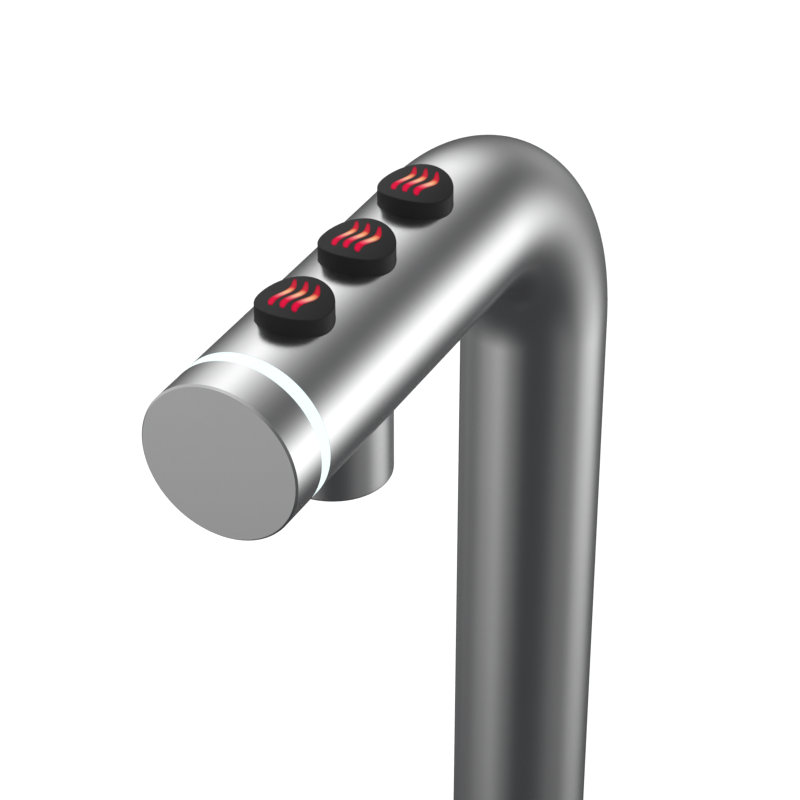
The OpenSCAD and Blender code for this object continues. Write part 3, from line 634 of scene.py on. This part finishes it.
def stroke_tree():
    """Wavy strokes side by side, inlaid in a crown that curves across the arm.

    A grid two units wide and one long becomes one flat stroke. Copies of it stand in a row,
    are laid on the crown's curve and are raised to their full depth.
    """
    tree, given, out = new_tree("wavy strokes", {
        "Length": 13.3 * MM, "Width": 2.4 * MM, "Swing": 0.85 * MM, "Pitch": 3.1 * MM,
        "Count": 3, "Waves": 1.14, "Taper": 0.38, "Tip": 0.3, "Crown Radius": CROWN_R,
        "Depth": 0.8 * MM, "Setback": 0.7 * MM, "Place": 0.0, "Steps Across": 15,
        "Steps Along": 61})
    sheet = add(tree, "GeometryNodeMeshGrid", {
        "Size X": 2.0, "Size Y": 1.0, "Vertices X": given["Steps Across"],
        "Vertices Y": given["Steps Along"]}).outputs["Mesh"]
    at = own_place(tree)
    across, along = at["X"], calc(tree, "ADD", at["Y"], 0.5)
    for label, value in (("along", along), ("across", across)):
        sheet = add(tree, "GeometryNodeStoreNamedAttribute", {
            "Geometry": sheet, "Name": label, "Value": value}, data_type="FLOAT").outputs[0]

    swell = calc(tree, "MAXIMUM", calc(
        tree, "SINE", calc(tree, "MULTIPLY", along, math.pi)), 0.0)
    belly = calc(tree, "POWER", swell, given["Tip"])
    slim = calc(tree, "SUBTRACT", 1.0, calc(tree, "MULTIPLY", given["Taper"], along))
    half = calc(tree, "MULTIPLY", calc(tree, "MULTIPLY", given["Width"], 0.5),
                calc(tree, "MULTIPLY", belly, slim))
    wave = calc(tree, "SINE", calc(
        tree, "MULTIPLY", calc(tree, "MULTIPLY", along, given["Waves"]), 2 * math.pi))
    middle = calc(tree, "MULTIPLY", calc(tree, "MULTIPLY", given["Swing"], wave), -1.0)
    flat = moved_to(
        tree, sheet, X=calc(tree, "ADD", middle, calc(tree, "MULTIPLY", across, half)),
        Y=calc(tree, "MULTIPLY_ADD", calc(tree, "SUBTRACT", along, 0.5), given["Length"],
               given["Setback"]))

    steps_back = calc(tree, "MULTIPLY", calc(tree, "SUBTRACT", given["Count"], 1.0), -0.5)
    row = add(tree, "GeometryNodeMeshLine", {
        "Count": given["Count"],
        "Start Location": vector_of(tree, X=calc(tree, "MULTIPLY", given["Pitch"], steps_back)),
        "Offset": vector_of(tree, X=given["Pitch"])})
    copies = add(tree, "GeometryNodeInstanceOnPoints", {
        "Points": row.outputs[0], "Instance": flat})
    real = add(tree, "GeometryNodeRealizeInstances", {"Geometry": copies.outputs[0]})

    in_row = own_place(tree)
    x, radius = in_row["X"], given["Crown Radius"]
    crown = calc(tree, "SQRT", calc(
        tree, "SUBTRACT", calc(tree, "MULTIPLY", radius, radius), calc(tree, "MULTIPLY", x, x)))
    bed = calc(tree, "ADD", calc(tree, "SUBTRACT", crown, given["Depth"]), ARM_Z)
    under = moved_to(tree, real.outputs[0], X=x,
                     Y=calc(tree, "ADD", in_row["Y"], given["Place"]), Z=bed)
    top = add(tree, "GeometryNodeExtrudeMesh", {
        "Mesh": under, "Offset": (0, 0, 1), "Offset Scale": given["Depth"],
        "Individual": False})
    underside = add(tree, "GeometryNodeFlipFaces", {"Mesh": under})
    both = add(tree, "GeometryNodeJoinGeometry")
    tree.links.new(top.outputs["Mesh"], both.inputs[0])
    tree.links.new(underside.outputs[0], both.inputs[0])
    welded = add(tree, "GeometryNodeMergeByDistance", {
        "Geometry": both.outputs[0], "Distance": 0.002 * MM})
    close_tree(tree, welded.outputs[0], given, out)
    return tree


def thread_tree():
    """A screw thread's ridge on a shank, from its lower end up."""
    tree, given, out = new_tree("shank thread", {
        "Root Radius": SHANK_R - THREAD_DEPTH, "Pitch": THREAD_PITCH, "Depth": THREAD_DEPTH,
        "Foot": SHANK_END + 0.5 * THREAD_PITCH,
        "Length": THREAD_TOP - SHANK_END - 1.5 * THREAD_PITCH,
        "Base Share": 0.94, "Crest Share": 0.2, "Steps per Turn": 72})
    helix = add(tree, "GeometryNodeCurveSpiral", {
        "Resolution": given["Steps per Turn"], "Start Radius": given["Root Radius"],
        "End Radius": given["Root Radius"], "Height": given["Length"],
        "Rotations": calc(tree, "DIVIDE", given["Length"], given["Pitch"])})
    upright = add(tree, "GeometryNodeSetCurveNormal", {"Curve": helix.outputs[0]}, mode="Z_UP")
    profile = add(tree, "GeometryNodeCurvePrimitiveQuadrilateral", {
        "Bottom Width": calc(tree, "MULTIPLY", given["Pitch"], given["Base Share"]),
        "Top Width": calc(tree, "MULTIPLY", given["Pitch"], given["Crest Share"]),
        "Height": calc(tree, "MULTIPLY", given["Depth"], 2.0), "Offset": 0.0},
        mode="TRAPEZOID")
    outward = add(tree, "GeometryNodeTransform", {
        "Geometry": profile.outputs[0], "Rotation": (0, 0, QUARTER_TURN)})
    swept = add(tree, "GeometryNodeCurveToMesh", {
        "Curve": upright.outputs[0], "Profile Curve": outward.outputs[0], "Fill Caps": True})
    ridge = add(tree, "GeometryNodeTransform", {
        "Geometry": swept.outputs[0], "Translation": vector_of(tree, Z=given["Foot"])})
    close_tree(tree, ridge.outputs[0], given, out)
    return tree


# Spout tube

def centre_line_points(points):
    """Nearest point of the tube's centre line for each point on the tube."""
    y, z = points[:, 1], points[:, 2]
    none = 0 * y
    turn = np.clip(np.arctan2(z - BEND_Z, y + BEND_RADIUS), 0, QUARTER_TURN)
    on_bend = np.stack([
        none, BEND_RADIUS * (np.cos(turn) - 1), BEND_Z + BEND_RADIUS * np.sin(turn)], 1)
    on_riser = np.stack([none, none, z], 1)
    on_arm = np.stack([none, y, none + ARM_Z], 1)
    riser, arm = (z <= BEND_Z)[:, None], (y <= -BEND_RADIUS)[:, None]
    return np.where(riser, on_riser, np.where(arm, on_arm, on_bend))


def read_all(items, attribute, width, kind=np.float32):
    """One attribute of all items, as rows of the given width."""
    values = np.zeros(len(items) * width, kind)
    items.foreach_get(attribute, values)
    return values.reshape(-1, width)


def true_tube_normals(made):
    """Sets the tube's shading normals from its exact shape.

    Reflections then run smoothly past the holes. The walls of the holes keep their own.
    """
    mesh = made.data
    corner = read_all(mesh.corner_normals, "vector", 3)
    vertex = read_all(mesh.loops, "vertex_index", 1, np.int32)[:, 0]
    points = read_all(mesh.vertices, "co", 3)[vertex].astype(float)
    corners_per_face = read_all(mesh.polygons, "loop_total", 1, np.int32)[:, 0]
    flat = np.repeat(read_all(mesh.polygons, "normal", 3), corners_per_face, axis=0)
    away = points - centre_line_points(points)
    distance = np.linalg.norm(away, axis=1)
    away = away / np.maximum(distance, 1e-9)[:, None]
    facing = (flat * away).sum(1)
    near, square = 0.03 * MM, 0.99
    outside = (facing > square) & (abs(distance - TUBE_R) < near)
    inside = (facing < -square) & (abs(distance - TUBE_BORE_R) < near)
    corner[outside] = away[outside]
    corner[inside] = -away[inside]
    mesh.normals_split_custom_set(corner)


def straight_tube():
    """The tube before it is bent: upright, with its length measured along its centre line."""
    bend_end = BEND_Z + BEND_RADIUS * QUARTER_TURN
    end = bend_end - BEND_RADIUS - TUBE_END
    marks = np.concatenate([
        np.linspace(SPOUT_FOOT + TUBE_EDGE, BEND_Z, RISER_RINGS)[:-1],
        np.linspace(BEND_Z, bend_end, BEND_RINGS),
        np.linspace(bend_end, end - TUBE_EDGE, ARM_RINGS)[1:]])
    quarter = np.linspace(0, QUARTER_TURN, 5)
    middle = TUBE_R - TUBE_EDGE
    outline = [(TUBE_R, mark) for mark in marks]
    outline += [(middle + TUBE_EDGE * math.cos(q), end - TUBE_EDGE * (1 - math.sin(q)))
                for q in quarter[1:]]
    outline.append((TUBE_BORE_R, end))
    outline += [(TUBE_BORE_R, mark) for mark in marks[::-2]]
    outline.append((TUBE_BORE_R, SPOUT_FOOT))
    outline += [(middle + TUBE_EDGE * math.sin(q), SPOUT_FOOT + TUBE_EDGE * (1 - math.cos(q)))
                for q in quarter[:-1]]
    c, s = around(TUBE_STEPS)
    rings = [np.stack([r * s, -r * c, mark + 0 * c], 1) for r, mark in outline]
    return mesh_from_rings("spout_tube_piece", rings, closed=True)


def spout_tube():
    """The bent tube with its holes for the buttons, the nozzle and the two screws."""
    tube = grown(straight_tube(), bend_tree(), Finish=finishes["satin_steel"])
    cutters = [
        rod((0, y, ARM_Z), (0, y, ARM_Z + CUT_LENGTH), BUTTON_HOLE_R)
        for y in BUTTON_PLACES.values()]
    for y, r in ((NOZZLE_Y, NECK_R + CLEARANCE), (CAP_SCREW_Y, SCREW_HOLE_R)):
        cutters.append(rod((0, y, ARM_Z), (0, y, ARM_Z - CUT_LENGTH), r))
    cutters.append(rod((0, 0, SWIVEL_SCREW_Z), (0, CUT_LENGTH, SWIVEL_SCREW_Z), SCREW_HOLE_R))
    smooth(cut_away(tube, cutters))
    true_tube_normals(tube)
    place(tube, "satin_steel", "spout", "spout_tube")


spout_tube()


# End cap and light ring

def end_cap():
    """Round cap with a bevelled face, a short collar and a hollow spigot."""
    cap = turned("end_cap_piece", [
        (0, ARM_FACE, 0), (TUBE_R - CAP_CHAMFER, ARM_FACE, 0.08 * MM),
        (TUBE_R, ARM_FACE + CAP_CHAMFER, 0.08 * MM), (TUBE_R, CAP_BACK, 0.05 * MM),
        (SPIGOT_R, CAP_BACK, 0), (SPIGOT_R, SPIGOT_END, 0.4 * MM),
        (SPIGOT_BORE_R, SPIGOT_END, 0.3 * MM),
        (SPIGOT_BORE_R, ARM_FACE + CAP_THICKNESS, 0.5 * MM), (0, ARM_FACE + CAP_THICKNESS, 0)],
        arm_ring, closed=False)
    place(cap, "satin_steel", "spout", "end_cap")


def light_ring():
    """Band of light between the tube and the cap, a hair lower than both."""
    outer, inner = TUBE_R - RING_RECESS, SPIGOT_R + CLEARANCE
    ring = turned("light_ring_piece", [
        (outer, CAP_BACK, 0), (outer, TUBE_END, 0), (inner, TUBE_END, 0), (inner, CAP_BACK, 0)],
        arm_ring)
    place(ring, "lit_ring", "spout", "light_ring")


end_cap()
light_ring()


# Buttons

def button_cap(i):
    """Round button with a crown that follows the tube, a rounded rim, a pocket and a stem."""
    c, _ = around(ROUND_STEPS)

    def ring(r, height):
        return upright_ring(r, ARM_Z + height, BUTTON_PLACES[i])

    def crown(r):
        return np.sqrt((CROWN_R - STROKE_PROUD) ** 2 - (r * c) ** 2)

    flat_r = BUTTON_R - BUTTON_RIM
    rings = [ring(r, crown(r)) for r in np.linspace(0, flat_r, 22)]
    for q in np.linspace(0, QUARTER_TURN, 8)[1:]:
        r = flat_r + BUTTON_RIM * math.sin(q)
        rings.append(ring(r, crown(r) - BUTTON_RIM * (1 - math.cos(q))))
    side = crown(BUTTON_R) - BUTTON_RIM
    for share in (0.1, 0.35, 0.65, 0.9):
        rings.append(ring(BUTTON_R, side * (1 - share) + BUTTON_FOOT * share))
    edge = BUTTON_FOOT_EDGE
    rings += [ring(max(r, 0), height) for r, height in rounded([
        (BUTTON_R, BUTTON_FOOT + 2 * edge, 0), (BUTTON_R, BUTTON_FOOT, edge),
        (SPRING_POCKET_R, BUTTON_FOOT, edge), (SPRING_POCKET_R, SPRING_POCKET_TOP, 0),
        (STEM_R, SPRING_POCKET_TOP, 0), (STEM_R, BARB_TOP, 0), (BARB_R, BARB_TOP, 0),
        (BARB_R, BARB_TOP - BARB_HEIGHT, 0), (STEM_TIP_R, STEM_END, 0), (0, STEM_END, 0)])]
    cap = mesh_from_rings(f"button_cap_{i}_piece", rings, closed=False)
    place(even_shading(smooth(cap, 40)), "button_black", f"button_{i}", f"button_cap_{i}")


def button_symbol(i, tree):
    """Three lit strokes in the button's crown."""
    symbol = grown(empty_piece(f"button_symbol_{i}_piece"), tree,
                   Place=BUTTON_PLACES[i], Finish=finishes["lit_symbol"])
    place(smooth(symbol, 50), "lit_symbol", f"button_{i}", f"button_symbol_{i}")


def return_spring(i):
    """Coil spring of a button, copied from the part's own mesh with its doubled points merged."""
    node = f"return_spring_{i}"
    spring = new_object(f"{node}_piece", cad_nodes[node].data.copy())
    weld(spring.data, SPRING_WELD_DISTANCE)
    place(smooth(spring, 40), "spring_steel", "spout", node)
    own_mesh(spring)


wavy_strokes = stroke_tree()
for i in BUTTON_PLACES:
    button_cap(i)
    button_symbol(i, wavy_strokes)
for i in BUTTON_PLACES:
    return_spring(i)


# Nozzle

def nozzle():
    """Plain round nozzle whose top is cut to the tube's underside."""
    c, _ = around(ROUND_STEPS)

    def ring(r, z):
        return upright_ring(r, z, NOZZLE_Y)

    def saddle(r):
        return ARM_Z - np.sqrt(TUBE_R ** 2 - (r * c) ** 2)

    rim = rounded([
        (MOUTH_R, MOUTH_TOP, 0), (MOUTH_R, NOZZLE_RIM_Z, MOUTH_EDGE),
        (NOZZLE_R, NOZZLE_RIM_Z, NOZZLE_EDGE), (NOZZLE_R, MOUTH_TOP, 0)])[:-1]
    rings = [ring(r, z) for r, z in rim]
    side_foot = rim[-1][1]
    for share in np.linspace(0.1, 1, 10):
        rings.append(ring(NOZZLE_R, side_foot * (1 - share) + saddle(NOZZLE_R) * share))
    rings += [ring(r, saddle(r)) for r in np.linspace(NOZZLE_R, NECK_R, 7)[1:]]
    rings += [ring(NECK_R, NECK_TOP), ring(NECK_BORE_R, NECK_TOP), ring(NECK_BORE_R, MOUTH_TOP)]
    shell = mesh_from_rings("nozzle_shell_piece", rings, closed=True)
    place(even_shading(smooth(shell)), "satin_steel", "spout", "nozzle_shell")


nozzle()


# Base and clamp

def base_flange():
    """Foot of the tap, with a groove for its seal and a ledge for the post."""
    collar_r, bore_r = SHOULDER_R + SHOULDER_GAP, SHANK_R + CLEARANCE
    flange = turned("base_flange_piece", [
        (FLANGE_RELIEF_R, 0, 0), (SEAL_GROOVE_INNER_R, 0, 0.15 * MM),
        (SEAL_GROOVE_INNER_R, SEAL_GROOVE_TOP, 0), (SEAL_GROOVE_OUTER_R, SEAL_GROOVE_TOP, 0),
        (SEAL_GROOVE_OUTER_R, 0, 0.15 * MM), (FLANGE_R, 0, 0.3 * MM),
        (FLANGE_R, FLANGE_TOP, FLANGE_EDGE), (collar_r, FLANGE_TOP, 0.4 * MM),
        (collar_r, LEDGE, 0), (bore_r, LEDGE, 0), (bore_r, FLANGE_RELIEF_TOP, 0),
        (FLANGE_RELIEF_R, FLANGE_RELIEF_TOP, 0)])
    place(flange, "flange_steel", "base", "base_flange")


def base_post():
    """Turned post with seats for its bearings and seals, and a threaded shank."""
    root = SHANK_R - THREAD_DEPTH
    corners = [
        (POST_BORE_R, SHANK_END, 0.4 * MM), (root, SHANK_END, 0.5 * MM), (root, THREAD_TOP, 0),
        (SHANK_R, THREAD_TOP + THREAD_DEPTH, 0), (SHANK_R, LEDGE, 0),
        (SHOULDER_R, LEDGE, 0.2 * MM), (SHOULDER_R, SHOULDER_TOP, 0.2 * MM),
        (POST_R, SHOULDER_TOP, 0)]
    for low, high, r in POST_RECESSES:
        corners += [(POST_R, low, 0), (r, low, 0), (r, high, 0), (POST_R, high, 0)]
    corners += [(POST_R, POST_TOP, 0.4 * MM), (POST_BORE_R, POST_TOP, 0.4 * MM)]
    post = turned("base_post_piece", corners)
    ridge = grown(empty_piece("shank_thread"), thread_tree(), Finish=finishes["turned_brass"])
    place(smooth(ridge), "turned_brass", "base", "base_post")
    place(post, "turned_brass", "base", "base_post")


def washer(name, top, foot, edge, slot, node):
    """Flat ring round the shank with rounded edges."""
    ring = turned(name, [
        (CLAMP_BORE_R, foot, edge), (WASHER_R, foot, edge), (WASHER_R, top, edge),
        (CLAMP_BORE_R, top, edge)])
    place(ring, slot, "clamp", node)


def clamp_nut():
    """Hexagon nut whose corners are turned back on a cone at both ends."""
    sixth = math.pi / 3
    turn = np.arange(NUT_STEPS) * 2 * math.pi / NUT_STEPS
    face = NUT_CORNER_R * math.cos(sixth / 2)
    six = face / np.cos((turn + sixth / 2) % sixth - sixth / 2)
    six = np.minimum(six, NUT_CORNER_R - NUT_CORNER_TRIM)

    def ring(r, z):
        return upright_ring(r, z, steps=NUT_STEPS)

    def side(inset):
        return np.minimum(six, face - NUT_CONE_INSET + inset * NUT_CONE_SLOPE)

    chamfer_r = CLAMP_BORE_R + NUT_BORE_CHAMFER
    insets = np.concatenate([[0], np.linspace(0.05, 2.2, 12)]) * MM
    rings = [ring(CLAMP_BORE_R, WASHER_FOOT - NUT_BORE_CHAMFER),
             ring(CLAMP_BORE_R, NUT_FOOT + NUT_BORE_CHAMFER), ring(chamfer_r, NUT_FOOT)]
    rings += [ring(side(inset), NUT_FOOT + inset) for inset in insets]
    rings += [ring(side(inset), WASHER_FOOT - inset) for inset in insets[::-1]]
    rings.append(ring(chamfer_r, WASHER_FOOT))
    nut = mesh_from_rings("clamp_nut_piece", rings, closed=True)
    place(even_shading(smooth(nut, 22)), "turned_brass", "clamp", "clamp_nut")


def inlet_stub():
    """Plain water connection, fitted over the pipe's end."""
    socket_r = PIPE_R + CLEARANCE
    stub = turned("inlet_stub_piece", [
        (PIPE_BORE_R, STUB_END, 0.3 * MM), (STUB_R, STUB_END, 0.8 * MM),
        (STUB_R, STUB_SHOULDER_FOOT, 0.15 * MM),
        (STUB_SHOULDER_R, STUB_SHOULDER_FOOT, 0.15 * MM),
        (STUB_SHOULDER_R, GUIDE_FOOT, 0.2 * MM), (socket_r, GUIDE_FOOT, 0),
        (socket_r, PIPE_FOOT, 0), (PIPE_BORE_R, PIPE_FOOT, 0)])
    place(stub, "turned_brass", "spout", "inlet_stub")


base_flange()
base_post()
washer("rubber_washer_piece", CLAMP_TOP, RUBBER_FOOT, 0.5 * MM, "black_rubber",
       "rubber_washer")
washer("clamp_washer_piece", RUBBER_FOOT, WASHER_FOOT, 0.25 * MM, "bright_steel",
       "clamp_washer")
clamp_nut()
inlet_stub()


# Camera, fitted to the photograph's outlines; its heading and height are in radians

LENS, SENSOR = 125.3, 36
CAMERA_PLACE = (0.28354, -0.61957, 0.71410)
CAMERA_HEADING, CAMERA_HEIGHT = 0.48600, 0.59564


def camera():
    """The photograph's view."""
    data = bpy.data.cameras.new("camera")
    data.lens = LENS
    data.sensor_width = SENSOR
    data.clip_start, data.clip_end = 0.01, 50
    made = new_object("camera", data)
    made.location = CAMERA_PLACE
    level = math.cos(CAMERA_HEIGHT)
    aimed(made, (-math.sin(CAMERA_HEADING) * level, math.cos(CAMERA_HEADING) * level,
                 -math.sin(CAMERA_HEIGHT)))
    bpy.context.scene.camera = made


camera()


# Studio

FLOOR_Z = STUB_END
FLOOR_REACH = 30
FLOOR_SHADES = grey(0.8), grey(0.82)
FLOOR_GLOW = 0.28
WORLD_LEVEL = 0.55
OVERHEAD_POWER, OVERHEAD_SPREAD, OVERHEAD_AIM = 1.5, 30, (0.3, -0.35, -1)
FILL_POWER, FILL_SIZE = 10, 1.2
FILL_PLACE, FILL_TARGET = (1.2, -1.9, 1.2), (0, -0.05, 0.25)
SHELL_RADIUS = 12
SHELL_BASE = (0.060, 0.061, 0.063)
# Soft boxes as the metal sees them: heading and height in degrees, spread in degrees, brightness
SOFT_BOXES = (
    (42, -12, 21, 1.87), (112, 35, 18, 0.34), (-118, -26, 18, 0.46), (-121, 51, 18, 0.55),
    (-35, 2, 18, 0.04), (-165, -34, 18, 0.07), (18, -21, 18, 0.12), (-10, -32, 18, 0.12),
    (102, 41, 18, 0.65), (91, -4, 18, 0.32), (130, 25, 18, 0.77), (-4, 16, 24, 0.72),
    (189, 43, 26, 0.84), (44, 66, 24, 0.47), (-88, 37, 24, 0.54), (167, 5, 22, 1.02),
    (-143, -3, 22, 0.56), (47, 4, 9, 0.03), (55, -27, 9, 0.05), (-146, -34, 9, 0.08),
    (-90, -34, 9, 0.07), (22, -34, 9, 0.1), (170, -34, 9, 0.06), (145, -34, 9, 0.08),
    (128, 38, 9, 0.28), (121, 43, 9, 0.37), (112, 48, 9, 0.13))


def shows_background(tree):
    """One for rays that show the background: seen directly, reflected or through glass."""
    path = add(tree, "ShaderNodeLightPath").outputs
    bounced = calc(tree, "MAXIMUM", path["Is Glossy Ray"], path["Is Transmission Ray"])
    return calc(tree, "MAXIMUM", path["Is Camera Ray"], bounced)


def pale_floor():
    """Plain pale floor under the tap's lowest point."""
    mesh = bpy.data.meshes.new("floor")
    corners = ((-1, -1), (1, -1), (1, 1), (-1, 1))
    mesh.from_pydata([(x * FLOOR_REACH, y * FLOOR_REACH, FLOOR_Z) for x, y in corners],
                     [], [(0, 1, 2, 3)])
    made = new_object("floor", mesh)
    material, tree, surface = finish_tree("pale floor")
    at = add(tree, "ShaderNodeTexCoord").outputs["Object"]
    tinted(tree, surface, noise(tree, at, 6, detail=3), *FLOOR_SHADES)
    surface.inputs["Roughness"].default_value = 0.9
    surface.inputs["Specular IOR Level"].default_value = 0.1
    surface.inputs["Emission Color"].default_value = (1, 1, 1, 1)
    glow = calc(tree, "MULTIPLY", shows_background(tree), FLOOR_GLOW)
    join(tree, surface.inputs["Emission Strength"], glow)
    mesh.materials.append(material)
    made.visible_glossy = False


def studio_world():
    """White where it is seen, and dimmer where it only lights."""
    made = bpy.data.worlds.new("studio")
    made.use_nodes = True
    bpy.context.scene.world = made
    tree = made.node_tree
    tree.nodes.clear()
    level = calc(tree, "MULTIPLY_ADD", shows_background(tree), 1 - WORLD_LEVEL, WORLD_LEVEL)
    glow = add(tree, "ShaderNodeBackground", {"Color": (1, 1, 1, 1), "Strength": level})
    add(tree, "ShaderNodeOutputWorld", {"Surface": glow.outputs[0]})


def overhead_light():
    """One broad soft light from above and behind, even over the whole floor."""
    data = bpy.data.lights.new("overhead light", "SUN")
    data.angle = math.radians(OVERHEAD_SPREAD)
    data.energy = OVERHEAD_POWER
    made = new_object("overhead light", data)
    aimed(made, OVERHEAD_AIM)
    made.visible_glossy = False


def front_fill():
    """A weak round lamp in front that opens the shadows."""
    data = bpy.data.lights.new("front fill lamp", "AREA")
    data.shape = "DISK"
    data.size = FILL_SIZE
    data.energy = FILL_POWER
    made = new_object("front fill lamp", data)
    made.location = FILL_PLACE
    aimed(made, Vector(FILL_TARGET) - Vector(FILL_PLACE))
    made.visible_camera = False
    made.visible_glossy = False


def reflected_studio():
    """A large shell with soft boxes painted in light on it, which only reflections show."""
    mesh = bpy.data.meshes.new("studio_shell")
    work = bmesh.new()
    bmesh.ops.create_icosphere(work, subdivisions=4, radius=SHELL_RADIUS)
    work.to_mesh(mesh)
    work.free()
    made = new_object("studio_shell", mesh)
    material = bpy.data.materials.new("studio shell")
    material.use_nodes = True
    tree = material.node_tree
    tree.nodes.clear()
    at = add(tree, "ShaderNodeTexCoord").outputs["Object"]
    towards = add(tree, "ShaderNodeVectorMath", {0: at}, operation="NORMALIZE").outputs["Vector"]
    total = 0.0
    for heading, height, spread, brightness in SOFT_BOXES:
        a, e = math.radians(heading), math.radians(height)
        aim = (math.cos(a) * math.cos(e), math.sin(a) * math.cos(e), math.sin(e))
        cosine = add(tree, "ShaderNodeVectorMath", {0: towards, 1: aim},
                     operation="DOT_PRODUCT").outputs["Value"]
        sharpness = 2 / math.radians(spread) ** 2
        lobe = calc(tree, "EXPONENT", calc(
            tree, "MULTIPLY", calc(tree, "SUBTRACT", cosine, 1.0), sharpness))
        total = calc(tree, "MULTIPLY_ADD", lobe, brightness, total)
    base = add(tree, "ShaderNodeEmission", {"Color": (*SHELL_BASE, 1), "Strength": 1.0})
    boxes = add(tree, "ShaderNodeEmission", {"Color": (1, 1, 1, 1), "Strength": total})
    both = add(tree, "ShaderNodeAddShader", {0: base.outputs[0], 1: boxes.outputs[0]})
    add(tree, "ShaderNodeOutputMaterial", {"Surface": both.outputs[0]})
    material.cycles.emission_sampling = "NONE"
    mesh.materials.append(material)
    made.visible_camera = made.visible_diffuse = made.visible_transmission = False
    made.visible_shadow = made.visible_volume_scatter = False


pale_floor()
studio_world()
overhead_light()
front_fill()
reflected_studio()

bpy.context.scene.view_settings.view_transform = "Standard"
